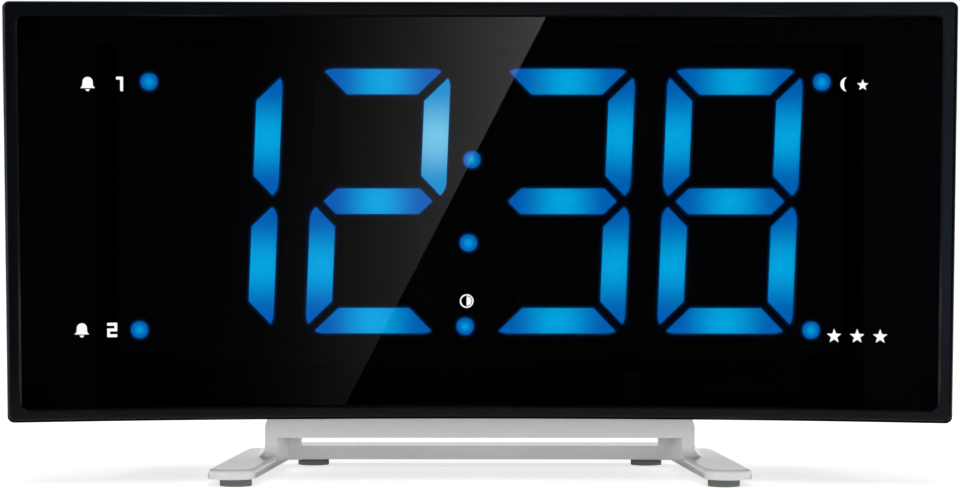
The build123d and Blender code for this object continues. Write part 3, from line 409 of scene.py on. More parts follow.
def board_laminate():
    """Glass-epoxy board under green solder resist, with the glass weave faintly showing."""
    material, tree, shader = new_material("green_solder_resist")
    place = add_node(tree, "ShaderNodeTexCoord", {}).outputs["Object"]
    weave = add_node(tree, "ShaderNodeTexBrick", {"Vector": place, "Scale": per_metre(1.0),
                                                  "Color1": linear("14502E"), "Color2": linear("175A34"),
                                                  "Mortar": linear("0F4426"), "Mortar Size": 0.1})
    fill(tree, shader, {"Base Color": weave, "Roughness": 0.35, "IOR": 1.55})
    return material


# Making pieces
def deselect():
    if bpy.context.object and bpy.context.object.mode != "OBJECT":
        bpy.ops.object.mode_set(mode="OBJECT")
    bpy.ops.object.select_all(action="DESELECT")


def pick(*pieces):
    """Select only these pieces, with the first one active."""
    deselect()
    for piece in pieces:
        piece.select_set(True)
    bpy.context.view_layer.objects.active = pieces[0]


def set_place(piece):
    """Put a piece's place, turn and scale into its mesh."""
    pick(piece)
    bpy.ops.object.transform_apply(location=True, rotation=True, scale=True)
    return piece


def added(primitive, scale=(1, 1, 1), **settings):
    """New primitive by itself, with its size and place put into its mesh."""
    deselect()
    primitive(**settings)
    piece = bpy.context.object
    piece.scale = scale
    return set_place(piece)


def moved(piece, matrix):
    piece.matrix_world = matrix
    return set_place(piece)


def shifted(piece, x=0, y=0, z=0):
    return moved(piece, Matrix.Translation((x, y, z)))


def begin_edit(piece, mode="VERT"):
    """Open a piece in edit mode with everything selected."""
    pick(piece)
    bpy.ops.object.mode_set(mode="EDIT")
    bpy.ops.mesh.select_mode(type=mode)
    bpy.ops.mesh.select_all(action="SELECT")


def end_edit():
    bpy.ops.object.mode_set(mode="OBJECT")


def select(piece, kind, wanted):
    """In edit mode, select only the vertices, edges or faces that pass a test."""
    bpy.ops.mesh.select_all(action="DESELECT")
    mesh = bmesh.from_edit_mesh(piece.data)
    for element in getattr(mesh, kind):
        if wanted(element):
            element.select_set(True)
    mesh.select_flush_mode()
    bmesh.update_edit_mesh(piece.data)


def middle_of(edge):
    return (edge.verts[0].co + edge.verts[1].co) / 2


def face_outwards(piece):
    """Merge doubles and turn all faces of a closed piece outwards."""
    begin_edit(piece)
    bpy.ops.mesh.remove_doubles(threshold=MERGE)
    bpy.ops.mesh.normals_make_consistent(inside=False)
    end_edit()
    return piece


def corners(piece):
    """Lowest and highest corner of a piece's mesh."""
    points = [vertex.co for vertex in piece.data.vertices]
    return [Vector(limit(point[i] for point in points) for i in range(3)) for limit in (min, max)]


def copy_of(node, name):
    """Piece with a copy of a solid's mesh."""
    piece = bpy.data.objects.new(name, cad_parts[node].data.copy())
    bpy.context.scene.collection.objects.link(piece)
    return piece


def merged_copy(node, name):
    """Piece with a solid's mesh, its loose triangles merged into whole faces."""
    piece = copy_of(node, name)
    pick(piece)
    bpy.ops.mesh.customdata_custom_splitnormals_clear()
    begin_edit(piece)
    bpy.ops.mesh.remove_doubles(threshold=2 * MERGE)
    bpy.ops.mesh.dissolve_limited(angle_limit=math.radians(0.5))
    end_edit()
    return piece


def clean_copy(node, name):
    """Piece with a solid's mesh and shading, but without faces that have no area."""
    piece = copy_of(node, name)
    begin_edit(piece)
    bpy.ops.mesh.remove_doubles(threshold=MERGE)
    bpy.ops.mesh.dissolve_degenerate(threshold=MERGE)
    bpy.ops.mesh.delete_loose(use_verts=True, use_edges=True, use_faces=False)
    end_edit()
    return piece


def twin(piece):
    """Copy of a piece, with its own mesh."""
    pick(piece)
    bpy.ops.object.duplicate()
    return bpy.context.object


def loose_parts(piece):
    """Split a piece into its separate solids, from left to right."""
    begin_edit(piece)
    bpy.ops.mesh.separate(type="LOOSE")
    end_edit()
    return sorted(bpy.context.selected_objects, key=lambda part: tuple(corners(part)[0]))


def joined(pieces, name):
    pick(*pieces)
    if len(pieces) > 1:
        bpy.ops.object.join()
    piece = bpy.context.object
    piece.name = name
    return piece


def apply_modifier(piece, kind, **settings):
    pick(piece)
    modifier = piece.modifiers.new(kind.lower(), kind)
    for name, value in settings.items():
        setattr(modifier, name, value)
    bpy.ops.object.modifier_apply(modifier=modifier.name)


def cut(piece, cutter):
    """Take the cutter's solid out of a piece."""
    apply_modifier(piece, "BOOLEAN", operation="DIFFERENCE", solver="MANIFOLD", object=cutter)
    bpy.data.objects.remove(cutter)


def smooth(piece, degrees=35):
    pick(piece)
    bpy.ops.object.shade_smooth_by_angle(angle=math.radians(degrees))


def dress(piece, material):
    piece.data.materials.clear()
    piece.data.materials.append(material)


def settle(piece, body, material, nodes=()):
    """Give a finished piece its finish and its body, and hide the solids that it stands in for."""
    dress(piece, material)
    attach(piece, body)
    if nodes:
        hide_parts(*nodes)


def dress_nodes(material, *nodes):
    """Finish solids whose shape stays as it is."""
    for node in nodes:
        dress(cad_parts[node], material)


# Front: lens and display
def front_axis(case):
    """Y of the upright axis that the front is bent round."""
    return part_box("front_lens")[1].y - case.lens_thickness - case.lens_lip - case.front_radius


def lens_radius(case):
    """Radius of the lens's front face."""
    return case.front_radius + case.lens_lip


class CLOCK_OT_front_frame(bpy.types.Operator):
    """Finish the front frame"""
    bl_idname = "clock.front_frame"
    bl_label = "Front frame"

    def execute(self, context):
        dress_nodes(polished_abs(context.scene.clock_case.frame_black), "front_frame")
        return {"FINISHED"}


class CLOCK_OT_lens(bpy.types.Operator):
    """Model the bent lens: a section spun round the front's axis, cut to leaning sides"""
    bl_idname = "clock.lens"
    bl_label = "Lens"

    def execute(self, context):
        case = context.scene.clock_case
        low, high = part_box("front_lens")
        axis_y = front_axis(case)
        near = lens_radius(case)
        middle = near + case.lens_thickness / 2
        half_turn = math.asin(high.x / near) * SPIN_OVER
        start = Vector((-middle * math.sin(half_turn), axis_y + middle * math.cos(half_turn),
                        (low.z + high.z) / 2))
        lens = added(bpy.ops.mesh.primitive_plane_add, (case.lens_thickness, high.z - low.z, 1), size=1,
                     location=start, rotation=(math.pi / 2, 0, math.pi / 2 + half_turn))
        begin_edit(lens)
        bpy.ops.mesh.delete(type="ONLY_FACE")
        bpy.ops.mesh.select_all(action="SELECT")
        bpy.ops.mesh.spin(steps=case.lens_steps, angle=2 * half_turn, center=(0, axis_y, 0), axis=(0, 0, 1))
        end_edit()
        if corners(lens)[1].x < 0:
            raise RuntimeError("the lens was spun the wrong way")
        for side in (-1, 1):
            begin_edit(lens)
            bpy.ops.mesh.bisect(plane_co=(side * high.x, 0, high.z),
                                plane_no=(side * (high.z - low.z), 0, -case.lens_lean),
                                use_fill=True, clear_outer=True, threshold=MERGE)
            end_edit()
        face_outwards(lens)
        begin_edit(lens, "EDGE")
        select(lens, "edges", lambda edge: self.at_corner(edge, low, high, case))
        bpy.ops.mesh.bevel(offset=case.lens_corner, segments=5, affect="EDGES")
        end_edit()
        lens.name = "lens_pane"
        smooth(lens)
        settle(lens, "clock", tinted_acrylic(case.lens_tint), ["front_lens"])
        return {"FINISHED"}

    def at_corner(self, edge, low, high, case):
        """Whether an edge runs through the sheet at one of its four corners."""
        middle = middle_of(edge)
        run = edge.verts[0].co - edge.verts[1].co
        through = abs(run.y) > 0.8 * case.lens_thickness and abs(run.z) < CLOSE
        at_end = abs(middle.x) > high.x - 2 * case.lens_lean
        return through and at_end and min(abs(middle.z - low.z), abs(middle.z - high.z)) < CLOSE


class CLOCK_OT_display(bpy.types.Operator):
    """Model the segments, the dots and the black film round them"""
    bl_idname = "clock.display"
    bl_label = "Display"

    def execute(self, context):
        display = context.scene.clock_display
        case = context.scene.clock_case
        glowing = lit_diffuser(display, case)
        lit = self.diffusers("lit_segments", "lit_bars", display)
        dots = self.diffusers("indicator_dots", "lit_dots", display)
        unlit = self.diffusers("unlit_segments", "dark_bars", display)
        film = self.film(display, [lit, dots, unlit])
        self.mark_spill(film, [lit, dots], display.halo_reach)
        settle(lit, "clock", glowing, ["lit_segments"])
        settle(dots, "clock", glowing, ["indicator_dots"])
        dark = moulded("unlit_blue_polycarbonate", display.unlit)
        settle(unlit, "clock", dark, ["unlit_segments"])
        settle(film, "clock", display_film(display, case))
        dress_nodes(moulded("moulded_black_reflector_abs", linear("101012")), "display_reflector")
        return {"FINISHED"}

    def diffusers(self, node, name, display):
        """Diffusers with a softened front edge, each mapped from its own middle towards its ends."""
        parts = loose_parts(merged_copy(node, name))
        for part in parts:
            self.soften(part, display.segment_bevel)
            self.map_along(part, display)
        return joined(parts, name)

    def soften(self, part, width):
        front = corners(part)[0].y
        begin_edit(part, "EDGE")
        select(part, "edges", lambda edge: all(abs(v.co.y - front) < CLOSE for v in edge.verts))
        bpy.ops.mesh.bevel(offset=width, segments=2, affect="EDGES")
        end_edit()
        smooth(part)

    def map_along(self, part, display):
        low, high = corners(part)
        middle = (low + high) / 2
        upright = high.z - low.z > high.x - low.x
        lean = math.tan(display.slant) if upright else 0.0
        half = (high.z - low.z if upright else high.x - low.x) / 2
        layer = part.data.uv_layers.new(name="along_segment")
        for loop in part.data.loops:
            offset = part.data.vertices[loop.vertex_index].co - middle
            layer.data[loop.index].uv = ((offset.x - lean * offset.z) / half, offset.z / half)
        hot = (middle.x - display.hot_place[0]) ** 2 + (middle.z - display.hot_place[1]) ** 2 < half ** 2 / 4
        heat = part.data.attributes.new("led_drive", "FLOAT", "POINT")
        heat.data.foreach_set("value", [float(hot)] * len(part.data.vertices))

    def film(self, display, diffusers):
        """Thin black sheet in front of the reflector, with a window for each diffuser."""
        low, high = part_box("display_reflector")
        middle = (low + high) / 2
        size = high - low
        # The film lies just clear of the reflector, and diffusers pushed through it cut its windows.
        strips = [round(side / display.film_step) for side in (size.x, size.z)]
        film = added(bpy.ops.mesh.primitive_grid_add, (size.x, size.z, 1), size=1, x_subdivisions=strips[0],
                     y_subdivisions=strips[1], rotation=UPRIGHT,
                     location=(middle.x, low.y - 1.5 * display.film_thickness, middle.z))
        film.name = "display_film"
        apply_modifier(film, "SOLIDIFY", thickness=display.film_thickness, offset=-1)
        windows = joined([twin(piece) for piece in diffusers], "windows")
        shifted(windows, y=-5 * display.film_thickness)
        cut(film, windows)
        return film

    def mark_spill(self, film, glowing, reach):
        """Store on the film how far each point is from the nearest light."""
        trees = []
        for piece in glowing:
            points = [vertex.co for vertex in piece.data.vertices]
            trees.append(BVHTree.FromPolygons(points, [face.vertices[:] for face in piece.data.polygons]))
        far = [min(tree.find_nearest(point.co)[3] for tree in trees) / reach for point in film.data.vertices]
        layer = film.data.attributes.new("from_light", "FLOAT", "POINT")
        layer.data.foreach_set("value", far)


# Printed signs
def disc(radius, points=40):
    """Flat disc that faces the viewer."""
    return added(bpy.ops.mesh.primitive_circle_add, vertices=points, radius=radius, fill_type="NGON",
                 rotation=UPRIGHT)


def bar(width, height):
    """Flat bar with round ends."""
    piece = added(bpy.ops.mesh.primitive_plane_add, (width, height, 1), size=1, rotation=UPRIGHT)
    begin_edit(piece)
    bpy.ops.mesh.bevel(offset=0.49 * min(width, height), segments=5, affect="VERTICES")
    end_edit()
    return piece


def ring(radius, width):
    """Flat ring, drawn inwards from its outer edge."""
    piece = added(bpy.ops.mesh.primitive_circle_add, vertices=48, radius=radius, rotation=UPRIGHT)
    begin_edit(piece, "EDGE")
    bpy.ops.mesh.extrude_region_move()
    bpy.ops.transform.resize(value=[1 - width / radius] * 3, center_override=(0, 0, 0))
    end_edit()
    return piece


def drawn_in(piece, wanted, factors):
    """Piece with some of its points scaled towards its middle, or past it."""
    begin_edit(piece)
    select(piece, "verts", wanted)
    bpy.ops.transform.resize(value=factors, center_override=(0, 0, 0))
    end_edit()
    return piece


def crescent(radius):
    """Disc whose right half is folded back to the left."""
    return drawn_in(disc(radius), lambda vertex: vertex.co.x > 0.01 * radius, (-0.5, 1, 1))


def star(radius):
    """Ten-point disc with every other point drawn in."""
    return drawn_in(disc(radius, 10), lambda vertex: vertex.index % 2, [0.42] * 3)


def half_disc(radius, keep):
    """Half of a disc: keep is the direction of the half that stays."""
    piece = disc(radius)
    begin_edit(piece)
    bpy.ops.mesh.bisect(plane_co=(0, 0, 0), plane_no=keep, clear_inner=True, threshold=MERGE)
    end_edit()
    return piece


def bell(height):
    """Dome, straight skirt and flared rim, with a clapper below."""
    radius = 0.32 * height
    piece = half_disc(radius, (0, 0, 1))
    begin_edit(piece, "EDGE")
    select(piece, "edges", lambda edge: all(abs(vertex.co.z) < 0.01 * radius for vertex in edge.verts))
    for drop, widen in ((0.25, 1.06), (0.13, 1.4)):
        bpy.ops.mesh.extrude_region_move(TRANSFORM_OT_translate={"value": (0, 0, -drop * height)})
        bpy.ops.transform.resize(value=(widen, 1, 1), center_override=(0, 0, 0))
    end_edit()
    clapper = half_disc(0.13 * height, (0, 0, -1))
    shifted(clapper, z=-0.44 * height)
    return shifted(joined([piece, clapper], "bell"), z=0.12 * height)


def numeral(figure, height):
    """Squared figure: a small square whose edge is drawn out along each run."""
    width = FIGURE_STROKE_SHARE * height
    piece = added(bpy.ops.mesh.primitive_plane_add, size=width, rotation=UPRIGHT)
    begin_edit(piece, "EDGE")
    corner = Vector()
    for run in FIGURES[figure]:
        run = Vector((run[0], 0, run[1])) * height
        ahead = run.normalized()
        side = corner + ahead * width / 2
        select(piece, "edges", lambda edge: (middle_of(edge) - side).length < 0.1 * width)
        for reach in (run.length - width, width):
            bpy.ops.mesh.extrude_region_move(TRANSFORM_OT_translate={"value": ahead * reach})
        corner += run
    end_edit()
    low, high = corners(piece)
    return shifted(piece, *(-(low + high) / 2))


def numbered_bell(figure, height, spacing):
    """Bell with a figure this far to its right, in shares of the bell's height."""
    number = shifted(numeral(figure, 0.9 * height), spacing * height)
    return joined([bell(height), number], "numbered_bell")


def moon_and_star(height):
    beside = shifted(star(0.42 * height), 1.05 * height, 0, -0.05 * height)
    return joined([crescent(height / 2), beside], "moon_and_star")


def star_row(radius, count):
    """Row of stars, one for each stored station."""
    first = star(radius)
    copies = [shifted(twin(first), 3 * radius * i) for i in range(1, count)]
    return joined([first] + copies, "star_row")


def dial(radius):
    """Clock face: a ring with two hands."""
    width = 0.2 * radius
    hour = shifted(bar(0.5 * radius, width), 0.2 * radius)
    minute = shifted(bar(width, 0.62 * radius), 0, -STROKE_GAP, 0.26 * radius)
    return joined([ring(radius, width), hour, minute], "dial")


def half_dial(radius):
    """Disc filled on one side: the second half of the day."""
    return joined([ring(radius, 0.2 * radius), half_disc(0.7 * radius, (1, 0, 0))], "half_dial")


def cross(size):
    width = 0.24 * size
    upright = shifted(bar(width, size), y=-STROKE_GAP)
    return joined([bar(size, width), upright], "cross")


def printed(piece, thickness):
    """Give a flat sign the thickness of its ink."""
    apply_modifier(piece, "SOLIDIFY", thickness=thickness, offset=-1)
    return face_outwards(piece)


class CLOCK_OT_front_signs(bpy.types.Operator):
    """Print the signs beside the corner dots and over the afternoon dot"""
    bl_idname = "clock.front_signs"
    bl_label = "Front signs"

    def execute(self, context):
        case = context.scene.clock_case
        size = case.sign_height
        signs = {"first_alarm": numbered_bell("1", size, 2.0), "second_alarm": numbered_bell("2", size, 1.9),
                 "sleep": moon_and_star(0.9 * size), "stored_stations": star_row(0.48 * size, 3),
                 "afternoon": half_dial(0.43 * size)}
        for name, sign in signs.items():
            self.print_at(printed(sign, case.ink_thickness), SIGN_PLACES[name], case)
        piece = joined(list(signs.values()), "front_signs")
        settle(piece, "clock", moulded("screen_printed_lens_ink", case.ink))
        return {"FINISHED"}

    def print_at(self, sign, place, case):
        """Bend a sign to the front's curve, with the back of its ink sunk a little into the lens."""
        x, z = (size * MM for size in place)
        near = lens_radius(case)
        low, high = corners(sign)
        for vertex in sign.data.vertices:
            turn = (x + vertex.co.x - (low.x + high.x) / 2) / near
            reach = near + vertex.co.y - LENS_INK_PROUD * case.ink_thickness
            vertex.co = (reach * math.sin(turn), front_axis(case) + reach * math.cos(turn), z + vertex.co.z)


class CLOCK_OT_keys(bpy.types.Operator):
    """Finish the keys and the snooze bar and print their signs"""
    bl_idname = "clock.keys"
    bl_label = "Keys"

    def execute(self, context):
        case = context.scene.clock_case
        rubber = moulded("moulded_black_silicone_rubber", case.key_black)
        dress_nodes(rubber, "snooze_bar", *[f"{key}_key" for key in KEYS])
        ink = moulded("pad_printed_key_ink", case.ink)
        size = case.key_sign_height
        bells = [numbered_bell(figure, 0.8 * size, 0.95) for figure in FIGURES]
        signs = (*bells, crescent(size / 2), dial(size / 2), bar(0.85 * size, 0.2 * size),
                 cross(0.85 * size))
        for key, sign in zip(KEYS, signs):
            self.print_on(f"{key}_key", key, sign, ink, case.ink_thickness)
        self.print_on("snooze_bar", "snooze", self.snooze_sign(size), ink, case.ink_thickness)
        return {"FINISHED"}

    def snooze_sign(self, size):
        """Crescent with a large and a small star."""
        large = shifted(star(0.3 * size), 0.25 * size, 0, 0.1 * size)
        small = shifted(star(0.18 * size), 0.6 * size, 0, -0.25 * size)
        return joined([crescent(0.6 * size), large, small], "snooze_sign")

    def print_on(self, node, body, sign, ink, thickness):
        """Centre a sign on top of a key, to be read from the front."""
        printed(sign, thickness)
        low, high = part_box(node)
        left, right = corners(sign)
        centred = Matrix.Translation((-(left.x + right.x) / 2, 0, 0))
        place = Matrix.Translation(((low.x + high.x) / 2, (low.y + high.y) / 2,
                                    high.z + KEY_INK_PROUD * thickness))
        moved(sign, place @ Matrix.Rotation(-math.pi / 2, 4, "X") @ centred)
        sign.name = f"{body}_sign"
        settle(sign, body, ink)


# Back, stand and inside
class CLOCK_OT_housing(bpy.types.Operator):
    """Finish the rear housing and the cap of the coin cell"""
    bl_idname = "clock.housing"
    bl_label = "Housing"

    def execute(self, context):
        black = context.scene.clock_case.housing_black
        dress_nodes(moulded("spark_eroded_black_abs", black), "rear_housing", "cell_cap")
        return {"FINISHED"}


class CLOCK_OT_screws(bpy.types.Operator):
    """Model the visible screws, with a cross recess in each head"""
    bl_idname = "clock.screws"
    bl_label = "Screws"

    def execute(self, context):
        zinc = metal("zinc_plated_steel")
        self.make("housing_screws", "back_screws", zinc, Vector((0, 1, 0)), context.scene.clock_case)
        self.make("stand_screws", "bridge_screws", zinc, Vector((0, 0, -1)), context.scene.clock_case)
        dress_nodes(zinc, "display_screws", "board_screws", "speaker_frame")
        return {"FINISHED"}

    def make(self, node, name, material, out, case):
        """One screw is recessed, and its copies take the places of the others."""
        parts = loose_parts(merged_copy(node, name))
        middles = [sum(corners(part), Vector()) / 2 for part in parts]
        for part in parts[1:]:
            bpy.data.objects.remove(part)
        first = parts[0]
        low, high = corners(first)
        head = Vector(middles[0][i] if not out[i] else (high[i] if out[i] > 0 else low[i]) for i in range(3))
        turned = out.to_track_quat("Z", "Y").to_matrix().to_4x4()
        for turn in (math.pi / 4, -math.pi / 4):
            cutter = self.recess_arm(case)
            moved(cutter, Matrix.Translation(head) @ turned @ Matrix.Rotation(turn, 4, "Z"))
            cut(first, cutter)
        copies = [shifted(twin(first), *(middle - middles[0])) for middle in middles[1:]]
        screws = joined([first] + copies, name)
        smooth(screws)
        settle(screws, "clock", material, [node])

    def recess_arm(self, case):
        """Tapered bar that sinks one arm of the cross, with the head's face at its origin."""
        size = (case.recess_length, case.recess_width, 2 * case.recess_depth)
        arm = added(bpy.ops.mesh.primitive_cube_add, size, size=1)
        begin_edit(arm, "FACE")
        select(arm, "faces", lambda face: face.normal.z < -0.5)
        bpy.ops.transform.resize(value=RECESS_TAPER, center_override=(0, 0, -case.recess_depth))
        end_edit()
        return arm


class CLOCK_OT_stand(bpy.types.Operator):
    """Finish the stand and its rubber pads"""
    bl_idname = "clock.stand"
    bl_label = "Stand"

    def execute(self, context):
        stand = context.scene.clock_stand
        painted = clean_copy("stand", "painted_stand")
        settle(painted, "clock", silver_paint(stand.silver), ["stand"])
        dress_nodes(moulded("moulded_grey_rubber", stand.rubber), "rubber_feet")
        return {"FINISHED"}


class CLOCK_OT_inlet(bpy.types.Operator):
    """Finish the power inlet and its pin"""
    bl_idname = "clock.inlet"
    bl_label = "Power inlet"

    def execute(self, context):
        dress_nodes(moulded("moulded_black_nylon", linear("17171A")), "power_inlet", "key_switches")
        dress_nodes(metal("bright_nickel_plate"), "inlet_pin", "coin_cell", "cell_contacts", "clock_crystal")
        return {"FINISHED"}


class CLOCK_OT_speaker(bpy.types.Operator):
    """Finish the speaker's cone and magnet"""
    bl_idname = "clock.speaker"
    bl_label = "Speaker"

    def execute(self, context):
        dress_nodes(moulded("black_pressed_pulp", linear("2A2A2B")), "speaker_cone")
        dress_nodes(moulded("sintered_ferrite", linear("38383A")), "speaker_magnet")
        return {"FINISHED"}


class CLOCK_OT_inside(bpy.types.Operator):
    """Finish the boards and what is soldered to them"""
    bl_idname = "clock.inside"
    bl_label = "Boards"

    def execute(self, context):
        dress_nodes(board_laminate(), "display_board", "main_board", "key_board")
        dress_nodes(moulded("moulded_epoxy_package", linear("202022")), "clock_chip", "radio_chip")
        dress_nodes(moulded("white_led_epoxy", linear("E8E6DC")), "segment_leds")
        dress_nodes(metal("drawn_aluminium_can"), "capacitors")
        dress_nodes(metal("gold_flashed_brass"), "pin_header")
        grey = moulded("moulded_grey_nylon", linear("8E8F92"))
        dress_nodes(grey, "snooze_switch_buttons", *[f"{key}_switch_button" for key in KEYS])
        return {"FINISHED"}


# Stage
def camera_turn(stage):
    """Camera's turn: level towards the clock, then pitched down and rolled."""
    pitched = Matrix.Rotation(math.pi / 2 - stage.camera_pitch, 4, "X")
    return pitched @ Matrix.Rotation(stage.camera_roll, 4, "Z")


class CLOCK_OT_stage(bpy.types.Operator):
    """Set the camera, the floor, the soft light and what the glossy front mirrors"""
    bl_idname = "clock.stage"
    bl_label = "Stage"

    def execute(self, context):
        stage = context.scene.clock_stage
        case = context.scene.clock_case
        front_y = front_axis(case) + case.front_radius
        self.eye = Vector((0, front_y - stage.camera_distance, stage.camera_height))
        self.add_camera(context.scene, stage)
        self.add_world(context.scene, stage)
        self.add_floor(stage)
        for name, place, size, share in LIGHTS:
            self.add_light(name, Vector(place), size, share)
        self.add_flags()
        self.add_cool_card(stage)
        self.add_glare(stage, case)
        context.scene.view_settings.view_transform = "Standard"
        return {"FINISHED"}

    def add_camera(self, scene, stage):
        bpy.ops.object.camera_add(location=self.eye, rotation=camera_turn(stage).to_euler())
        camera = bpy.context.object
        camera.data.sensor_width = 36.0
        camera.data.lens = stage.focal_px * camera.data.sensor_width / IMAGE_SIZE[0]
        camera.data.clip_start = 0.01
        scene.camera = camera

    def seen(self, tree):
        """Node that gives 1 for what the camera sees straight, mirrored or through the lens."""
        path = add_node(tree, "ShaderNodeLightPath", {}).outputs
        mirrored = add_node(tree, "ShaderNodeMath", {0: path["Is Glossy Ray"],
                                                     1: path["Is Transmission Ray"]}, operation="MAXIMUM")
        return add_node(tree, "ShaderNodeMath", {0: path["Is Camera Ray"], 1: mirrored}, operation="MAXIMUM")

    def add_world(self, scene, stage):
        """White where it is seen or mirrored, and plain soft light for the rest."""
        world = bpy.data.worlds.new("white_studio")
        world.use_nodes = True
        scene.world = world
        tree = world.node_tree
        strength = add_node(tree, "ShaderNodeMapRange", {"Value": self.seen(tree), "To Max": 1.0,
                                                         "To Min": stage.world_level})
        fill(tree, tree.nodes["Background"], {"Color": WHITE, "Strength": strength})

    def plane(self, name, size, place, turn=(0, 0, 0)):
        """Flat piece of the stage."""
        piece = added(bpy.ops.mesh.primitive_plane_add, (*size, 1), size=1, location=place, rotation=turn)
        piece.name = name
        return piece

    def add_floor(self, stage):
        """Paper floor: its own light, only where it is seen, lifts it to white and keeps the shadow."""
        floor = self.plane("floor", (stage.floor_size, stage.floor_size), (0, 0, 0))
        material, tree, shader = new_material("white_paper_sweep")
        place = add_node(tree, "ShaderNodeTexCoord", {}).outputs["Object"]
        away = add_node(tree, "ShaderNodeVectorMath", {0: place}, operation="LENGTH")
        own = add_node(tree, "ShaderNodeMapRange", {"Value": away, "From Min": stage.floor_near,
                                                    "From Max": stage.floor_far, "To Min": stage.floor_lift,
                                                    "To Max": stage.floor_lift_far})
        lift = add_node(tree, "ShaderNodeMath", {0: self.seen(tree), 1: own}, operation="MULTIPLY")
        fill(tree, shader, {"Base Color": stage.floor_white, "Roughness": 1.0, "Specular IOR Level": 0.0,
                            "Emission Color": WHITE, "Emission Strength": lift})
        dress(floor, material)

    def add_light(self, name, place, size, share):
        """Soft area light aimed at the clock, giving this share of the plain level there."""
        aim = LIGHT_AIM - place
        turn = aim.to_track_quat("-Z", "Y").to_euler()
        bpy.ops.object.light_add(type="AREA", location=place, rotation=turn)
        light = bpy.context.object
        light.name = name
        light.data.shape = "RECTANGLE"
        light.data.size, light.data.size_y = size
        # At the plain level, a white surface that faces the lamp comes out just white.
        light.data.energy = share * math.pi ** 2 * aim.length_squared
        light.visible_camera = False
        light.visible_glossy = False

    def only_mirrored(self, piece):
        for ray in ("camera", "diffuse", "volume_scatter", "shadow"):
            setattr(piece, f"visible_{ray}", False)

    def add_flags(self):
        """Black cloth round the camera and in front of the clock, which keeps the glossy front dark."""
        material, tree, shader = new_material("black_duvetyne")
        fill(tree, shader, {"Base Color": BLACK, "Roughness": 1.0, "Specular IOR Level": 0.0})
        for row in FLAGS:
            self.hang(row, material)

    def hang(self, row, material):
        """Put up a cloth that only shows where it is mirrored."""
        name, size, place, turn = row
        cloth = self.plane(name, size, place, [math.radians(degrees) for degrees in turn])
        dress(cloth, material)
        self.only_mirrored(cloth)

    def add_cool_card(self, stage):
        """Blue-white cloth, lit from behind: a cool sheen on the glossy frame."""
        material, tree, shader = new_material("blue_white_silk")
        fill(tree, shader, {"Base Color": BLACK, "Specular IOR Level": 0.0,
                            "Emission Color": stage.cool_light, "Emission Strength": stage.cool_level})
        self.hang(COOL_CARD, material)

    def mirrored(self, pixel, stage, case, card_y):
        """Where the front mirrors a pixel of the image to, on an upright card."""
        across, up = pixel[0] - IMAGE_SIZE[0] / 2, IMAGE_SIZE[1] / 2 - pixel[1]
        ahead = camera_turn(stage).to_3x3() @ Vector((across, up, -stage.focal_px)).normalized()
        axis = Vector((0, front_axis(case)))
        near = lens_radius(case)
        offset = self.eye.xy - axis
        square = ahead.xy.length_squared
        half = offset.dot(ahead.xy)
        step = (-half + math.sqrt(half ** 2 - square * (offset.length_squared - near ** 2))) / square
        point = self.eye + step * ahead
        back = ahead.reflect((*(axis - point.xy).normalized(), 0))
        return point + back * (card_y - point.y) / back.y

    def add_glare(self, stage, case):
        """Softbox that the front mirrors as a slanting field, fading to the left."""
        card = added(bpy.ops.mesh.primitive_grid_add, size=1, x_subdivisions=GLARE_GRID[0],
                     y_subdivisions=GLARE_GRID[1])
        card.name = "glare_card"
        top, bottom = Vector(stage.glare_top), Vector(stage.glare_bottom)
        for vertex in card.data.vertices:
            across, up = vertex.co.x + 0.5, vertex.co.y + 0.5
            edge = bottom.lerp(top, up)
            width = stage.glare_width_bottom + up * (stage.glare_width_top - stage.glare_width_bottom)
            pixel = (edge.x - (1 - across) * width, edge.y)
            vertex.co = self.mirrored(pixel, stage, case, -stage.glare_distance)
        dress(card, self.softbox_cloth(stage))
        self.only_mirrored(card)
        card.visible_transmission = False

    def softbox_cloth(self, stage):
        """White diffusion cloth lit from behind: brightest at its upper right corner."""
        material, tree, shader = new_material("softbox_cloth")
        flat = add_node(tree, "ShaderNodeUVMap", {})
        place = add_node(tree, "ShaderNodeSeparateXYZ", {0: flat}).outputs
        tone = add_node(tree, "ShaderNodeMapRange", {"Value": place["Y"], "To Min": stage.glare_low,
                                                     "To Max": stage.glare_high})
        fade = add_node(tree, "ShaderNodeMath", {0: place["X"], 1: stage.glare_fade}, operation="POWER")
        shown = add_node(tree, "ShaderNodeMath", {0: tone, 1: fade}, operation="MULTIPLY")
        light = add_node(tree, "ShaderNodeMath", {0: shown, 1: SCREEN_GAMMA}, operation="POWER")
        strength = add_node(tree, "ShaderNodeMath", {0: light, 1: 1 / FRONT_MIRROR}, operation="MULTIPLY")
        fill(tree, shader, {"Base Color": BLACK, "Specular IOR Level": 0.0, "Emission Color": WHITE,
                            "Emission Strength": strength})
        return material


class CLOCK_PT_panel(bpy.types.Panel):
    """Settings and makers of the clock"""
    bl_label = "Curved alarm clock"
    bl_space_type = "VIEW_3D"
    bl_region_type = "UI"
    bl_category = "Clock"

    def draw(self, context):
        for name, group in SETTINGS.items():
            box = self.layout.box()
            for key in group.__annotations__:
                box.prop(getattr(context.scene, name), key)
        for maker in MAKERS:
            self.layout.operator(maker.bl_idname)


SETTINGS = {"clock_display": DisplaySettings, "clock_case": CaseSettings, "clock_stand": StandSettings,
            "clock_stage": StageSettings}
MAKERS = (CLOCK_OT_front_frame, CLOCK_OT_lens, CLOCK_OT_display, CLOCK_OT_front_signs, CLOCK_OT_keys,
          CLOCK_OT_housing, CLOCK_OT_screws, CLOCK_OT_stand, CLOCK_OT_inlet, CLOCK_OT_speaker,
          CLOCK_OT_inside, CLOCK_OT_stage)


def register():
    for kind in (*SETTINGS.values(), *MAKERS, CLOCK_PT_panel):
        bpy.utils.register_class(kind)
    for name, group in SETTINGS.items():
        setattr(bpy.types.Scene, name, PointerProperty(type=group))


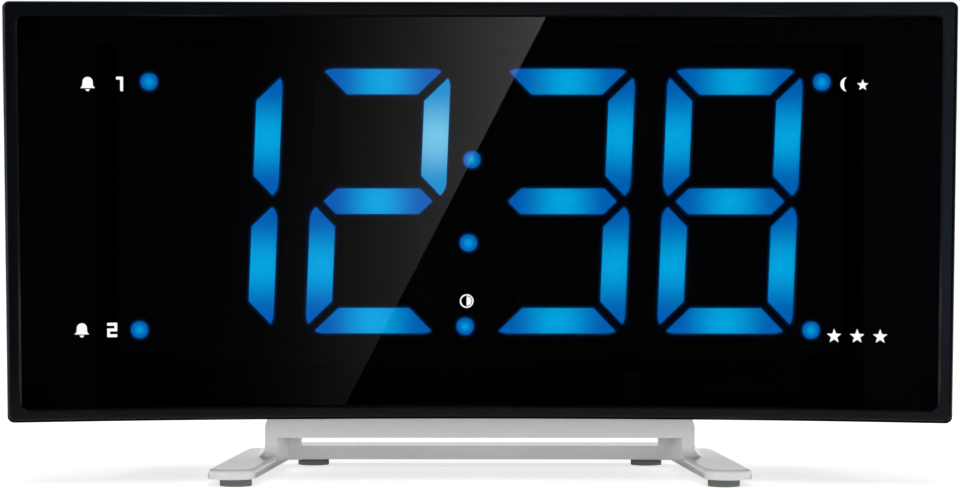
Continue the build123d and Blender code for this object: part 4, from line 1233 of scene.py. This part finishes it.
def unregister():
    for name in SETTINGS:
        delattr(bpy.types.Scene, name)
    for kind in (CLOCK_PT_panel, *reversed(MAKERS), *reversed(SETTINGS.values())):
        bpy.utils.unregister_class(kind)


def main():
    register()
    for maker in MAKERS:
        section, name = maker.bl_idname.split(".")
        getattr(getattr(bpy.ops, section), name)()


if __name__ == "__main__":
    main()
